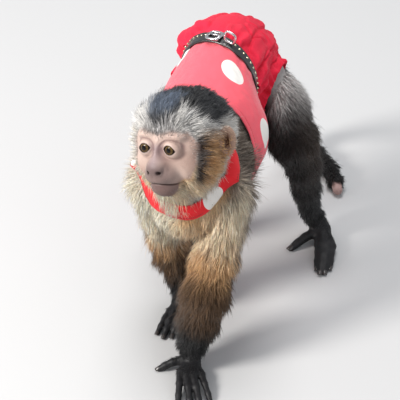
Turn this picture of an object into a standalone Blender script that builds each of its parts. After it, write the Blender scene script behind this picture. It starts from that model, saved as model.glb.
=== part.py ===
"""A young tufted capuchin monkey, life size, walking on all fours with its head turned to its right.

It wears a sleeveless shirt with a wide neckline, a belt with a buckle and a ring, and gathered bloomers.
The solids show the outline out to the tips of the coat. Each limb is fused into one surface from
tapered bars and ellipsoids, and thin cuts part it at its joints. The trunk and the clothes are skinned
over the same rings, so the clothes fit the trunk.

Frame: +Z up, Z = 0 on the floor under the hands and feet, the animal walks towards -Y and its left
side is +X. The plan is written in millimetres, and PLAN_CENTRE is the point of it that lies under the
middle of the finished model's bounding box, which becomes the origin.
"""

import math

import bmesh
import bpy
from mathutils import Matrix, Vector

MM = 0.001
PLAN_CENTRE = Vector((24.15, 182.43, 0.0))
GAP = 0.35            # clearance between two solids that touch
FLOOR_TRIM = 1.4      # how far palms, soles and fingertips are planed flat
FINE_TRIANGLES, CUTTER_TRIANGLES = 600, 380
CUTTER_SLACK = 1.2    # what a coarse cutter may lack of its neighbour's surface
RING_SIDES = 22       # sides of the trunk and of the clothes
BAR_SIDES = 14        # sides of the bars and balls that a limb is fused from
NECKLINE_SIDES = 26

# ------------------------------------------------------------------ body plan, in millimetres
HEAD_CENTRE = Vector((-1.5, 70.0, 214.0))
HEAD_YAW = math.radians(22.5)      # turned to its right
HEAD_PITCH = math.radians(14.0)    # looking up
HEAD_ROLL = math.radians(-15.5)    # crown leaning to its right

# Trunk rings from breast to rump: distance back, centre to the left, centre height, half width, half
# height, and how far the ring is swung round, in degrees, its left side forward.
TRUNK_RINGS = (
    (66, 0, 142, 18, 18, 0), (73, 0, 143, 29, 30, 0), (86, 0, 144, 38, 37, 0), (105, 0, 148, 43, 41, 0),
    (130, 1, 156, 45, 42, 3), (155, 1, 166, 45, 41, 8), (180, 0, 176, 41, 38, 14), (200, -2, 183, 35.5, 35, 18),
    (216, -3, 187, 33, 34, 20), (235, -4, 188, 35, 35, 20), (258, -4, 186, 35, 33, 10), (278, -3, 184, 30, 28, 0),
    (292, -2, 183, 20, 20, 0), (300, -1, 181, 11, 11, 0),
)

# The points of each limb from the trunk outwards, and the radii of its coat there.
LEFT_ARM = (
    (32, 100, 146), (29, 90, 121), (27, 76, 93), (23, 59, 65), (19, 49, 42), (15.5, 40, 22), (16, 34, 12),
)
RIGHT_ARM = (
    (-32, 100, 146), (-27, 108, 108), (-26, 116, 80), (-22, 118, 54), (-15, 116, 39), (-10.5, 113, 22),
    (-12, 108, 12),
)
LEFT_ARM_RADII = (25, 22.5, 20.5, 21.5, 19, 15, 12)
RIGHT_ARM_RADII = (26, 22, 19, 16.5, 15, 12.5, 11)
ARM_CUTS = (2, 5)                  # the elbow and the wrist, as places in those lists
LEFT_LEG = (
    (28, 262, 168), (48, 246, 143), (62, 230, 120), (73, 232, 89), (75, 240, 58), (79, 247, 28), (91, 246, 12),
)
RIGHT_LEG = (
    (-26, 258, 168), (-36, 226, 146), (-38, 197, 120), (-34, 198, 89), (-28, 205, 58), (-22, 211, 28),
    (-20, 218, 12),
)
LEG_RADII = (24, 26, 25, 18, 14.5, 12, 11)
LEG_CUTS = (2, 5)                  # the knee and the ankle
TAIL = (
    (4, 286, 180), (9, 302, 164), (18, 322, 138), (29, 343, 104), (34, 364, 68), (37, 376, 36), (47, 376, 15),
    (63, 362, 11), (79, 343, 10.5), (89, 326, 9), (94, 314, 6),
)
TAIL_RADII = (14, 14, 14.5, 14, 13.5, 13, 12, 11.5, 11, 9.5, 6)
TAIL_CUTS = (3, 6)

# Fingers and toes: knuckle, tip and radius at the knuckle. The thumb and the great toe stand apart.
LEFT_HAND = (
    ((10.5, 18, 8), (16.5, -16, 0), 3.5), ((16.5, 15, 8), (29, -20, 0), 3.7), ((22.5, 16, 8), (36.5, -16, 0), 3.6),
    ((28, 21, 7), (43, -6, 0), 3.3), ((7, 33, 8), (-10, 25, 0), 4.0),
)
RIGHT_HAND = (
    ((-3.5, 94, 8), (-2.5, 75, 0), 3.4), ((-9, 91.5, 8), (-10, 70, 0), 3.6),
    ((-14.5, 92, 8), (-17.3, 67.5, 0), 3.5), ((-19, 96, 7), (-24, 71, 0), 3.3),
    ((-4, 107, 8), (9, 98, 0), 4.0),
)
LEFT_FOOT = (
    ((92.5, 222, 8), (96.5, 194, 0), 3.9), ((97, 221, 8), (100.5, 189, 0), 4.1),
    ((101.5, 221, 8), (104.5, 190.5, 0), 3.9), ((105.5, 224, 7), (108, 198, 0), 3.6),
    ((85, 238, 9), (67.5, 218, 0), 5.0),
)
RIGHT_FOOT = (
    ((-13, 181, 8), (-13, 154, 0), 4.0), ((-18, 180, 8), (-18.5, 150, 0), 4.2),
    ((-23, 181, 8), (-24, 152, 0), 4.0), ((-28, 184, 7), (-29.5, 159, 0), 3.7),
    ((-10, 202, 9), (4, 187, 0), 5.0),
)
PALM_RADIUS, SOLE_RADIUS = 8.5, 9.0
TIP_TAPER = 0.75                   # a digit's tip, as a share of its radius at the knuckle
HEAD_TRIANGLES, LIMB_TRIANGLES, TAIL_TRIANGLES = 860, 460, 300

SHIRT_THICKNESS = 2.4
SHIRT_FIRST = 1                    # the first trunk ring that the shirt covers
BELT_BACK, BELT_WIDTH, BELT_THICKNESS = 214.5, 12.0, 2.4
BUCKLE_ANGLE, BUCKLE_SIZE, BUCKLE_RIM = 98.0, (15.0, 16.0, 3.0), 3.2
BELT_RING_ANGLE, BELT_RING_RADIUS, BELT_RING_WIRE = 76.0, 5.0, 1.3
BLOOMER_RINGS = (
    (221, -3, 186, 36.5, 37, 20), (227, -4, 186, 43, 40.5, 20), (238, -4, 185, 46, 41.5, 16),
    (256, -4, 183, 45.5, 39, 8), (276, -4, 180, 41, 34.5, 0), (294, -3, 178, 33, 27.5, 0), (306, -2, 176, 18, 15, 0),
)
GATHERS, GATHER_DEPTH = 8, 1.2
NECK = ((-3, 106, 152), (-4, 88, 184))
NECK_RADII = (37, 37)
# The neckline is an oval band round the neck, its plane raised towards the nape.
NECKLINE_CENTRE = Vector((-5.0, 88.0, 170.0))
NECKLINE_AXES = Matrix.Rotation(math.radians(42), 3, "X")
NECKLINE_HALF, NECKLINE_FLARE = 39.5, 7.0
NECKLINE_WIDTH, NECKLINE_THICKNESS = 11.0, 2.4
NECKLINE_TAPER, NECKLINE_EASE, NECKLINE_SHORT = 0.26, 0.15, 0.10
# The shirt's front edge slants from the shoulders down and forwards to the belly, behind the arms.
FRONT_EDGE_POINT, FRONT_EDGE_DIRECTION = Vector((0, 128, 160)), Vector((0, -0.91, 0.41))


def head_turn():
    """The head's own axes in the body frame: +X its left, -Y its face, +Z its crown."""
    yaw = Matrix.Rotation(-HEAD_YAW, 3, "Z")
    pitch = Matrix.Rotation(-HEAD_PITCH, 3, "X")
    roll = Matrix.Rotation(HEAD_ROLL, 3, "Y")
    return yaw @ pitch @ roll


HEAD_AXES = head_turn()


def in_head(x, y, z):
    return HEAD_CENTRE + HEAD_AXES @ Vector((x, y, z))


# ------------------------------------------------------------------ building tools
def clear_scene():
    for obj in list(bpy.data.objects):
        bpy.data.objects.remove(obj, do_unlink=True)


def placed(matrix):
    """A transform in plan millimetres as one in metres about the model's origin."""
    return Matrix.Scale(MM, 4) @ Matrix.Translation(-PLAN_CENTRE) @ matrix


def add_ball(shape, centre, radii, axes=None, rings=12):
    """One ellipsoid, its radii along the given axes."""
    turn = (axes or Matrix.Identity(3)).to_4x4()
    matrix = placed(Matrix.Translation(centre) @ turn @ Matrix.Diagonal((*radii, 1.0)))
    bmesh.ops.create_uvsphere(shape, u_segments=BAR_SIDES, v_segments=rings, radius=1.0, matrix=matrix)


def axes_along(direction):
    return direction.to_track_quat("Z", "Y").to_matrix()


def add_bar(shape, start, end, start_radius, end_radius, sides=BAR_SIDES):
    """One tapered bar between two points."""
    along = end - start
    matrix = placed(Matrix.Translation((start + end) / 2) @ axes_along(along).to_4x4())
    bmesh.ops.create_cone(
        shape, cap_ends=True, segments=sides, radius1=start_radius, radius2=end_radius,
        depth=along.length, matrix=matrix,
    )


def add_chain(shape, points, radii):
    """Tapered bars from point to point, with a ball at each."""
    points = [Vector(point) for point in points]
    for point, radius in zip(points, radii):
        add_ball(shape, point, (radius,) * 3)
    for i in range(len(points) - 1):
        add_bar(shape, points[i], points[i + 1], radii[i], radii[i + 1])


def object_from(shape, name):
    """Makes an object of a bmesh, its faces turned out."""
    bmesh.ops.recalc_face_normals(shape, faces=shape.faces)
    mesh = bpy.data.meshes.new(name)
    shape.to_mesh(mesh)
    shape.free()
    obj = bpy.data.objects.new(name, mesh)
    bpy.context.scene.collection.objects.link(obj)
    return obj


def copy_of(obj, name):
    copy = bpy.data.objects.new(name, obj.data.copy())
    bpy.context.scene.collection.objects.link(copy)
    return copy


def drop(obj):
    bpy.data.objects.remove(obj, do_unlink=True)


def apply_modifiers(obj):
    bpy.context.view_layer.update()
    graph = bpy.context.evaluated_depsgraph_get()
    mesh = bpy.data.meshes.new_from_object(obj.evaluated_get(graph))
    obj.modifiers.clear()
    obj.data = mesh
    return obj


def triangulate(obj):
    shape = bmesh.new()
    shape.from_mesh(obj.data)
    bmesh.ops.triangulate(shape, faces=shape.faces)
    shape.to_mesh(obj.data)
    shape.free()


def fuse(obj, voxel, smoothing, triangles):
    """Fuses overlapping shapes into one skin, rounds its creases and thins it to a triangle count."""
    remesh = obj.modifiers.new("fuse", "REMESH")
    remesh.mode = "VOXEL"
    remesh.voxel_size = voxel * MM
    smooth = obj.modifiers.new("round", "SMOOTH")
    smooth.factor = 0.5
    smooth.iterations = smoothing
    return thinned(apply_modifiers(obj), triangles)


def combine(obj, other, operation):
    """Cuts or joins obj with other by an exact Boolean, and removes other."""
    boolean = obj.modifiers.new(operation.lower(), "BOOLEAN")
    boolean.operation = operation
    boolean.object = other
    boolean.solver = "EXACT"
    apply_modifiers(obj)
    drop(other)
    return obj


def grown(obj, distance):
    """A copy of obj with its surface moved out, to cut a neighbour with."""
    copy = copy_of(obj, "grown_" + obj.name)
    shape = bmesh.new()
    shape.from_mesh(copy.data)
    shape.normal_update()
    shifts = [vertex.normal * distance * MM for vertex in shape.verts]
    for vertex, shift in zip(shape.verts, shifts):
        vertex.co += shift
    shape.to_mesh(copy.data)
    shape.free()
    return copy


def thinned(obj, triangles):
    triangulate(obj)
    decimate = obj.modifiers.new("thin", "DECIMATE")
    decimate.ratio = min(1.0, triangles / len(obj.data.polygons))
    return apply_modifiers(obj)


def cutter_of(obj):
    """The shape that neighbours of obj are cut back by: obj moved out by the gap, and thinned if it is fine."""
    if len(obj.data.polygons) > FINE_TRIANGLES:
        return thinned(grown(obj, GAP + CUTTER_SLACK), CUTTER_TRIANGLES)
    return grown(obj, GAP)


def clear_of(obj, *cutters):
    """Cuts obj back by each cutter, which is kept."""
    for cutter in cutters:
        combine(obj, copy_of(cutter, "cutter"), "DIFFERENCE")
    return keep_largest(obj)


def block(centre, size, axes=None):
    """A box to cut with."""
    shape = bmesh.new()
    turn = (axes or Matrix.Identity(3)).to_4x4()
    matrix = placed(Matrix.Translation(centre) @ turn @ Matrix.Diagonal((*size, 1.0)))
    bmesh.ops.create_cube(shape, size=1.0, matrix=matrix)
    return object_from(shape, "block")


def islands_of(shape):
    """The groups of vertices that edges join."""
    left, islands = set(shape.verts), []
    while left:
        found, todo = set(), [left.pop()]
        while todo:
            vertex = todo.pop()
            found.add(vertex)
            near = {edge.other_vert(vertex) for edge in vertex.link_edges} & left
            left -= near
            todo += near
        islands.append(found)
    return islands


def volume_of(island):
    faces = {face for vertex in island for face in vertex.link_faces}
    corners = [[vertex.co for vertex in face.verts] for face in faces]
    return abs(sum(a.dot(b.cross(c)) for a, b, c in corners))


def keep_largest(obj):
    """Removes stray chips, so that one closed body is left, in triangles."""
    shape = bmesh.new()
    shape.from_mesh(obj.data)
    bmesh.ops.remove_doubles(shape, verts=shape.verts, dist=1e-6)
    bmesh.ops.triangulate(shape, faces=shape.faces)
    largest = max(islands_of(shape), key=volume_of)
    bmesh.ops.delete(shape, geom=[v for v in shape.verts if v not in largest], context="VERTS")
    shape.to_mesh(obj.data)
    shape.free()
    return obj


def cut_off(obj, point, direction):
    """Removes what lies ahead of the plane through point, and closes the cut."""
    shape = bmesh.new()
    shape.from_mesh(obj.data)
    everything = shape.verts[:] + shape.edges[:] + shape.faces[:]
    plane_point = placed(Matrix.Identity(4)) @ Vector(point)
    bmesh.ops.bisect_plane(
        shape, geom=everything, dist=1e-7, plane_co=plane_point, plane_no=direction, clear_outer=True,
    )
    rims = [edge for edge in shape.edges if edge.is_boundary]
    bmesh.ops.holes_fill(shape, edges=rims, sides=0)
    bmesh.ops.recalc_face_normals(shape, faces=shape.faces)
    shape.to_mesh(obj.data)
    shape.free()
    return keep_largest(obj)


def plane_underside(obj):
    """Planes the underside, so that the solid stands on small flats at floor level."""
    return cut_off(obj, (0, 0, 0), Vector((0, 0, -1)))


def cut_limb(limb, points, cuts):
    """Parts a limb by thin cuts at the given places of its list, from the trunk outwards."""
    pieces = []
    for place in cuts:
        before, point, after = (Vector(points[place + i]) for i in (-1, 0, 1))
        direction = ((point - before).normalized() + (after - point).normalized()).normalized()
        rest = copy_of(limb, limb.name)
        pieces.append(cut_off(limb, point - direction * GAP / 2, direction))
        limb = cut_off(rest, point + direction * GAP / 2, -direction)
    return pieces + [limb]


# ------------------------------------------------------------------ materials
def material(name, colour, roughness, metallic=0.0):
    made = bpy.data.materials.new(name)
    made.use_nodes = True
    shader = made.node_tree.nodes["Principled BSDF"]
    shader.inputs["Base Color"].default_value = (*colour, 1.0)
    shader.inputs["Roughness"].default_value = roughness
    shader.inputs["Metallic"].default_value = metallic
    return made


def finish(obj, name, look):
    obj.name = name
    obj.data.name = name
    obj.data.materials.clear()
    obj.data.materials.append(look)
    obj.data.shade_smooth()
    obj.data.set_sharp_from_angle(angle=math.radians(40))
    return obj


# ------------------------------------------------------------------ trunk, neck and limbs
def ring_points(ring, extra, gather=0.0):
    back, side, height, half_width, half_height, swing = ring
    slant = math.tan(math.radians(swing))
    points = []
    for i in range(RING_SIDES):
        angle = 2 * math.pi * i / RING_SIDES
        out = extra + gather * math.sin(GATHERS * angle)
        across = (half_width + out) * math.cos(angle)
        up = (half_height + out) * math.sin(angle)
        points.append(Vector((side + across, back - across * slant, height + up)))
    return points


def join_rings(shape, near, far):
    """One strip of faces between two rings of vertices."""
    for i in range(len(near)):
        j = (i + 1) % len(near)
        shape.faces.new((near[i], near[j], far[j], far[i]))


def add_tube(shape, rings, extra, gather=0.0):
    """Skins one ring to the next and returns the rings of vertices."""
    matrix = placed(Matrix.Identity(4))
    made = [[shape.verts.new(matrix @ point) for point in ring_points(ring, extra, gather)] for ring in rings]
    for near, far in zip(made, made[1:]):
        join_rings(shape, near, far)
    return made


def solid_of_rings(name, rings, extra=0.0, gather=0.0):
    shape = bmesh.new()
    made = add_tube(shape, rings, extra, gather)
    shape.faces.new(made[0])
    shape.faces.new(made[-1])
    return object_from(shape, name)


def shell_of_rings(name, rings, outer_extra, inner_extra):
    """A tube with a wall, open at both ends."""
    shape = bmesh.new()
    outer = add_tube(shape, rings, outer_extra)
    inner = add_tube(shape, rings, inner_extra)
    for end in (0, -1):
        join_rings(shape, outer[end], inner[end])
    return object_from(shape, name)


def ring_at(rings, back):
    """The ring at any distance back, read from the rings on both sides of it."""
    for near, far in zip(rings, rings[1:]):
        if near[0] <= back <= far[0]:
            share = (back - near[0]) / (far[0] - near[0])
            return tuple(a + (b - a) * share for a, b in zip(near, far))
    return rings[0] if back < rings[0][0] else rings[-1]


def make_trunk():
    return solid_of_rings("trunk", TRUNK_RINGS)


def make_neck():
    shape = bmesh.new()
    add_chain(shape, NECK, NECK_RADII)
    return fuse(object_from(shape, "neck"), 2.5, 3, 240)


def add_digits(shape, palm_start, palm_radius, digits):
    """Fingers or toes from a palm, each with a knuckle bend, the last one standing apart."""
    for knuckle, tip, radius in digits:
        knuckle, tip = Vector(knuckle), Vector(tip)
        tip.z = radius * TIP_TAPER - FLOOR_TRIM
        middle = knuckle.lerp(tip, 0.5) + Vector((0, 0, 1.0))
        add_bar(shape, palm_start, knuckle, palm_radius, radius + 1.0)
        add_chain(shape, (knuckle, middle, tip), (radius, radius * 0.92, radius * TIP_TAPER))


def make_limb(name, points, radii, digits, palm_radius):
    shape = bmesh.new()
    add_chain(shape, points, radii)
    palm = Vector(points[-1])
    palm.z = palm_radius - FLOOR_TRIM
    add_ball(shape, palm, (palm_radius,) * 3)
    add_digits(shape, palm, palm_radius, digits)
    limb = fuse(object_from(shape, name), 1.5, 4, LIMB_TRIANGLES)
    return plane_underside(limb)


def make_tail():
    shape = bmesh.new()
    add_chain(shape, TAIL, TAIL_RADII)
    return plane_underside(fuse(object_from(shape, "tail"), 2.2, 5, TAIL_TRIANGLES))


# ------------------------------------------------------------------ head, ears and eyes
EYE_CENTRE, EYE_RADIUS = (12.3, -27.5, 2.0), 7.8
EAR_CENTRE, EAR_RADII, EAR_TURN = (41.5, 6.0, 3.0), (3.8, 9.5, 14.5), math.radians(35)


def make_head():
    shape = bmesh.new()
    balls = [
        ((0, 7, 8), (41, 41, 36)),            # cranium with its cap of fur
        ((0, -8, 24), (33, 26, 17)),          # the cap's front, over the brow
        ((0, -15, -2), (29, 20, 27)),         # face
        ((0, -29, -18), (15.5, 15, 12)),      # muzzle
        ((0, -25, -29), (14, 13.5, 11)),      # chin
        ((0, -38, -12), (7.5, 7, 8)),         # nose
        ((0, -2, -28), (26, 24, 15)),         # throat
    ]
    for side in (-1, 1):
        balls += [
            ((side * 15, -30, 10), (12, 7, 5)),       # brow
            ((side * 19, -11, -17), (17, 19, 19)),    # cheek
            ((side * 29, -3, -7), (16, 23, 25)),      # whiskers
            ((side * 17, -12, 28), (15, 17, 13)),     # one lobe of the cap
        ]
    for centre, radii in balls:
        add_ball(shape, in_head(*centre), radii, HEAD_AXES)
    return fuse(object_from(shape, "head"), 1.8, 3, HEAD_TRIANGLES)


def open_eyes(head):
    """Opens the lids in front of each eyeball."""
    for side in (-1, 1):
        x, y, z = EYE_CENTRE
        socket = bmesh.new()
        add_bar(
            socket, in_head(side * x, y - 2, z), in_head(side * (x + 3), y - 24, z + 1), 5.8, 12.0, sides=14,
        )
        combine(head, object_from(socket, "opening"), "DIFFERENCE")
    return keep_largest(head)


def make_eye(side):
    shape = bmesh.new()
    x, y, z = EYE_CENTRE
    add_ball(shape, in_head(side * x, y, z), (EYE_RADIUS,) * 3, HEAD_AXES, rings=7)
    return object_from(shape, "eye")


def make_ear(side):
    """A round ear that stands a little off the head, with its hollow facing forward."""
    x, y, z = EAR_CENTRE
    turn = HEAD_AXES @ Matrix.Rotation(-side * EAR_TURN, 3, "Z")
    shape = bmesh.new()
    add_ball(shape, in_head(side * x, y, z), EAR_RADII, turn, rings=7)
    ear = object_from(shape, "ear")
    hollow = bmesh.new()
    centre = in_head(side * x, y, z) + turn @ Vector((side * 4.6, 0.5, 0.5))
    add_ball(hollow, centre, (4.4, 6.6, 11.0), turn, rings=6)
    return combine(ear, object_from(hollow, "hollow"), "DIFFERENCE")


# ------------------------------------------------------------------ clothes
def neckline_point(turn, radius, height):
    """A point of the oval, which is narrower and shorter towards the breast."""
    breast = max(0.0, -math.sin(turn))
    taper = 1 - NECKLINE_TAPER * (1 - math.exp(-breast / NECKLINE_EASE))
    short = 1 - NECKLINE_SHORT * breast
    return Vector((radius * math.cos(turn) * taper, radius * math.sin(turn) * short, height))


def make_neckline():
    """The oval band of the neckline, which slopes outwards to its lower edge."""
    edge = NECKLINE_WIDTH / 2
    inside = NECKLINE_HALF - NECKLINE_THICKNESS
    corners = (
        (NECKLINE_HALF + NECKLINE_FLARE, -edge), (NECKLINE_HALF, edge),
        (inside, edge), (inside + NECKLINE_FLARE, -edge),
    )
    shape = bmesh.new()
    matrix = placed(Matrix.Translation(NECKLINE_CENTRE) @ NECKLINE_AXES.to_4x4())
    rings = []
    for radius, height in corners:
        turns = [2 * math.pi * i / NECKLINE_SIDES for i in range(NECKLINE_SIDES)]
        rings.append([shape.verts.new(matrix @ neckline_point(turn, radius, height)) for turn in turns])
    for k in range(4):
        join_rings(shape, rings[k], rings[(k + 1) % 4])
    return object_from(shape, "neckline")


def neck_opening():
    """The space inside the neckline, to cut the shirt with."""
    shape = bmesh.new()
    reach = NECKLINE_HALF + NECKLINE_FLARE + 1
    size = Matrix.Diagonal((reach, reach, 1.0, 1.0))
    middle = NECKLINE_CENTRE + NECKLINE_AXES @ Vector((0, 0, 20))
    matrix = placed(Matrix.Translation(middle) @ NECKLINE_AXES.to_4x4() @ size)
    bmesh.ops.create_cone(
        shape, cap_ends=True, segments=NECKLINE_SIDES, radius1=1.0, radius2=1.0, depth=90, matrix=matrix,
    )
    return object_from(shape, "opening")


def make_shirt():
    """The shirt round the trunk, cut at the neck and along its slanting front edge."""
    back_end = BELT_BACK + BELT_WIDTH / 2
    rings = [ring for ring in TRUNK_RINGS[SHIRT_FIRST:] if ring[0] < back_end - 4]
    rings.append(ring_at(TRUNK_RINGS, back_end))
    shirt = shell_of_rings("shirt", rings, SHIRT_THICKNESS, GAP)
    combine(shirt, neck_opening(), "DIFFERENCE")
    axes = axes_along(FRONT_EDGE_DIRECTION)
    front = block(FRONT_EDGE_POINT + FRONT_EDGE_DIRECTION.normalized() * 60, (200, 200, 120), axes)
    return combine(shirt, front, "DIFFERENCE")


def make_belt():
    rings = [ring_at(TRUNK_RINGS, BELT_BACK + side * BELT_WIDTH / 2) for side in (-1, 1)]
    inside = SHIRT_THICKNESS + GAP
    return shell_of_rings("belt", rings, inside + BELT_THICKNESS, inside)


def belt_point(angle_deg, lift):
    """A point over the belt's outer face, by its angle from the animal's left side up over the back."""
    back, side, height, half_width, half_height, swing = ring_at(TRUNK_RINGS, BELT_BACK)
    out = SHIRT_THICKNESS + GAP + BELT_THICKNESS + lift
    angle = math.radians(angle_deg)
    across = (half_width + out) * math.cos(angle)
    up = (half_height + out) * math.sin(angle)
    return Vector((side + across, back - across * math.tan(math.radians(swing)), height + up))


def make_belt_ring(sides=14, wire_sides=5):
    """A round wire ring that stands on the belt behind its buckle."""
    shape = bmesh.new()
    axes = axes_along(Vector((0.0, 1.0, 0.25)))
    matrix = placed(Matrix.Translation(belt_point(BELT_RING_ANGLE, BELT_RING_RADIUS)) @ axes.to_4x4())
    rings = []
    for i in range(sides):
        angle = 2 * math.pi * i / sides
        ring = []
        for j in range(wire_sides):
            turn = 2 * math.pi * j / wire_sides
            reach = BELT_RING_RADIUS + BELT_RING_WIRE * math.cos(turn)
            point = Vector((reach * math.cos(angle), reach * math.sin(angle), BELT_RING_WIRE * math.sin(turn)))
            ring.append(shape.verts.new(matrix @ point))
        rings.append(ring)
    for i in range(sides):
        join_rings(shape, rings[i], rings[(i + 1) % sides])
    return object_from(shape, "belt_ring")


def make_buckle():
    """A square frame that lies on the belt over the back."""
    length, width, thickness = BUCKLE_SIZE
    centre = belt_point(BUCKLE_ANGLE, GAP + thickness / 2)
    frame = block(centre, BUCKLE_SIZE)
    opening = (length - 2 * BUCKLE_RIM, width - 2 * BUCKLE_RIM, 3 * thickness)
    return combine(frame, block(centre, opening), "DIFFERENCE")


# ------------------------------------------------------------------ the whole model
def main():
    clear_scene()
    looks = {
        "fur": material("fur", (0.11, 0.075, 0.05), 0.9),
        "black_fur": material("black_fur", (0.02, 0.018, 0.017), 0.85),
        "pale_fur": material("pale_fur", (0.42, 0.30, 0.19), 0.9),
        "skin": material("skin", (0.06, 0.045, 0.04), 0.6),
        "ear": material("ear", (0.45, 0.27, 0.2), 0.6),
        "eye": material("eye", (0.06, 0.035, 0.015), 0.1),
        "cloth": material("cloth", (0.62, 0.02, 0.03), 0.8),
        "leather": material("leather", (0.02, 0.02, 0.02), 0.45),
        "metal": material("metal", (0.5, 0.5, 0.5), 0.3, metallic=1.0),
    }
    left_arm = make_limb("arm", LEFT_ARM, LEFT_ARM_RADII, LEFT_HAND, PALM_RADIUS)
    right_arm = make_limb("arm", RIGHT_ARM, RIGHT_ARM_RADII, RIGHT_HAND, PALM_RADIUS)
    left_leg = make_limb("leg", LEFT_LEG, LEG_RADII, LEFT_FOOT, SOLE_RADIUS)
    right_leg = make_limb("leg", RIGHT_LEG, LEG_RADII, RIGHT_FOOT, SOLE_RADIUS)
    head, neck, trunk, tail = make_head(), make_neck(), make_trunk(), make_tail()
    neckline, belt = make_neckline(), make_belt()
    eyes = {side: make_eye(side) for side in (-1, 1)}
    whole = (head, neckline, trunk, belt, left_arm, right_arm, left_leg, right_leg, neck, tail)
    cutters = [cutter_of(obj) for obj in whole]
    by_head, by_neckline, by_trunk, by_belt, by_left_arm, by_right_arm = cutters[:6]
    by_left_leg, by_right_leg, by_neck, by_tail = cutters[6:]

    clear_of(head, *(cutter_of(eye) for eye in eyes.values()))
    open_eyes(head)
    ears = {side: clear_of(make_ear(side), by_head) for side in (-1, 1)}
    clear_of(neckline, by_head)
    clear_of(trunk, by_head, by_neckline)
    for arm in (left_arm, right_arm):
        clear_of(arm, by_trunk, by_head, by_neckline)
    clear_of(neck, by_neckline, by_head, by_trunk, by_left_arm, by_right_arm, cutter_of(ears[-1]))
    shirt = clear_of(make_shirt(), by_head, by_neckline, by_neck, by_left_arm, by_right_arm)
    for leg in (left_leg, right_leg):
        clear_of(leg, by_trunk, cutter_of(shirt), by_belt)
    clear_of(tail, by_trunk)
    bloomers = solid_of_rings("bloomers", BLOOMER_RINGS, gather=GATHER_DEPTH)
    clear_of(bloomers, by_trunk, cutter_of(shirt), by_belt, by_left_leg, by_right_leg, by_tail)

    finish(head, "head", looks["pale_fur"])
    finish(neck, "neck", looks["pale_fur"])
    finish(trunk, "trunk", looks["fur"])
    for side, name in ((1, "left"), (-1, "right")):
        finish(eyes[side], "eye_" + name, looks["eye"])
        finish(ears[side], "ear_" + name, looks["ear"])
    for arm, points, name in ((left_arm, LEFT_ARM, "left"), (right_arm, RIGHT_ARM, "right")):
        upper, lower, hand = cut_limb(arm, points, ARM_CUTS)
        finish(upper, "upper_arm_" + name, looks["pale_fur"])
        finish(lower, "forearm_" + name, looks["fur"])
        finish(hand, "hand_" + name, looks["skin"])
    for leg, points, name in ((left_leg, LEFT_LEG, "left"), (right_leg, RIGHT_LEG, "right")):
        thigh, shank, foot = cut_limb(leg, points, LEG_CUTS)
        finish(thigh, "thigh_" + name, looks["fur"])
        finish(shank, "shank_" + name, looks["fur"])
        finish(foot, "foot_" + name, looks["skin"])
    for piece, name in zip(cut_limb(tail, TAIL, TAIL_CUTS), ("tail_base", "tail_middle", "tail_end")):
        finish(piece, name, looks["black_fur"])
    finish(shirt, "shirt", looks["cloth"])
    finish(neckline, "neckline", looks["cloth"])
    finish(bloomers, "bloomers", looks["cloth"])
    finish(belt, "belt", looks["leather"])
    finish(clear_of(make_buckle(), by_belt), "belt_buckle", looks["metal"])
    finish(clear_of(make_belt_ring(), by_belt), "belt_ring", looks["metal"])
    for obj in list(bpy.data.objects):
        if not obj.data.materials:
            drop(obj)


if __name__ == "__main__":
    main()
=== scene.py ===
"""The looks of a young tufted capuchin, life size, on all fours in a dotted shirt, a belt and bloomers.

The animal's skin is one surface, taken from a field of signed distances that repeats the part's body
plan with the coat's depth removed. The same colour and coat functions then paint the skin and lay the
fur, in solid tufts that follow the lie of the coat. The clothes are skinned over the trunk's rings.
Lengths are in millimetres of the body plan until world() turns them into metres.
"""

import math

import bmesh
import bpy
import numpy as np
from mathutils import Matrix, Vector

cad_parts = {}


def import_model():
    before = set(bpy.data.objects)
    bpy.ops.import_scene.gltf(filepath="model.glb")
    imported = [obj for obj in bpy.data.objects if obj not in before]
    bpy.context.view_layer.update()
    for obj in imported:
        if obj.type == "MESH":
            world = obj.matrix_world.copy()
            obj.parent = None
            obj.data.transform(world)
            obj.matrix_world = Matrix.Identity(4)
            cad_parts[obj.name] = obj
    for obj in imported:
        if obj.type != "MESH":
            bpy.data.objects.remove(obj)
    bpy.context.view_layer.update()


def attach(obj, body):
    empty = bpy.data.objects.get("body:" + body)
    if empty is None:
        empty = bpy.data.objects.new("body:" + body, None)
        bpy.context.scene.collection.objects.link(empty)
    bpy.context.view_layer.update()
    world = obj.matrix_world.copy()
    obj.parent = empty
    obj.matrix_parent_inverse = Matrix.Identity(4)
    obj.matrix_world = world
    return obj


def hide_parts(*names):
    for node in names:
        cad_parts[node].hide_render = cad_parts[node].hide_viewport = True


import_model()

MM = 0.001
PLAN_CENTRE = np.array([24.15, 182.43, 0.0])
SEED = 7

# ------------------------------------------------------------------ body plan, as in the part
HEAD_CENTRE = np.array([-1.5, 70.0, 214.0])
HEAD_YAW, HEAD_PITCH, HEAD_ROLL = math.radians(22.5), math.radians(14.0), math.radians(-15.5)

# Trunk rings: distance back, centre to the left, centre height, half width, half height, swing.
TRUNK_RINGS = np.array([
    (66, 0, 142, 18, 18, 0), (73, 0, 143, 29, 30, 0), (86, 0, 144, 38, 37, 0),
    (105, 0, 148, 43, 41, 0), (130, 1, 156, 45, 42, 3), (155, 1, 166, 45, 41, 8),
    (180, 0, 176, 41, 38, 14), (200, -2, 183, 35.5, 35, 18), (216, -3, 187, 33, 34, 20),
    (235, -4, 188, 35, 35, 20), (258, -4, 186, 35, 33, 10), (278, -3, 184, 30, 28, 0),
    (292, -2, 183, 20, 20, 0), (300, -1, 181, 11, 11, 0),
], float)
LEFT_ARM = np.array([
    (32, 100, 146), (29, 90, 121), (27, 76, 93), (23, 59, 65), (19, 49, 42), (15.5, 40, 22), (16, 34, 12),
], float)
RIGHT_ARM = np.array([
    (-32, 100, 146), (-27, 108, 108), (-26, 116, 80), (-22, 118, 54), (-15, 116, 39), (-10.5, 113, 22),
    (-12, 108, 12),
], float)
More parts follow.
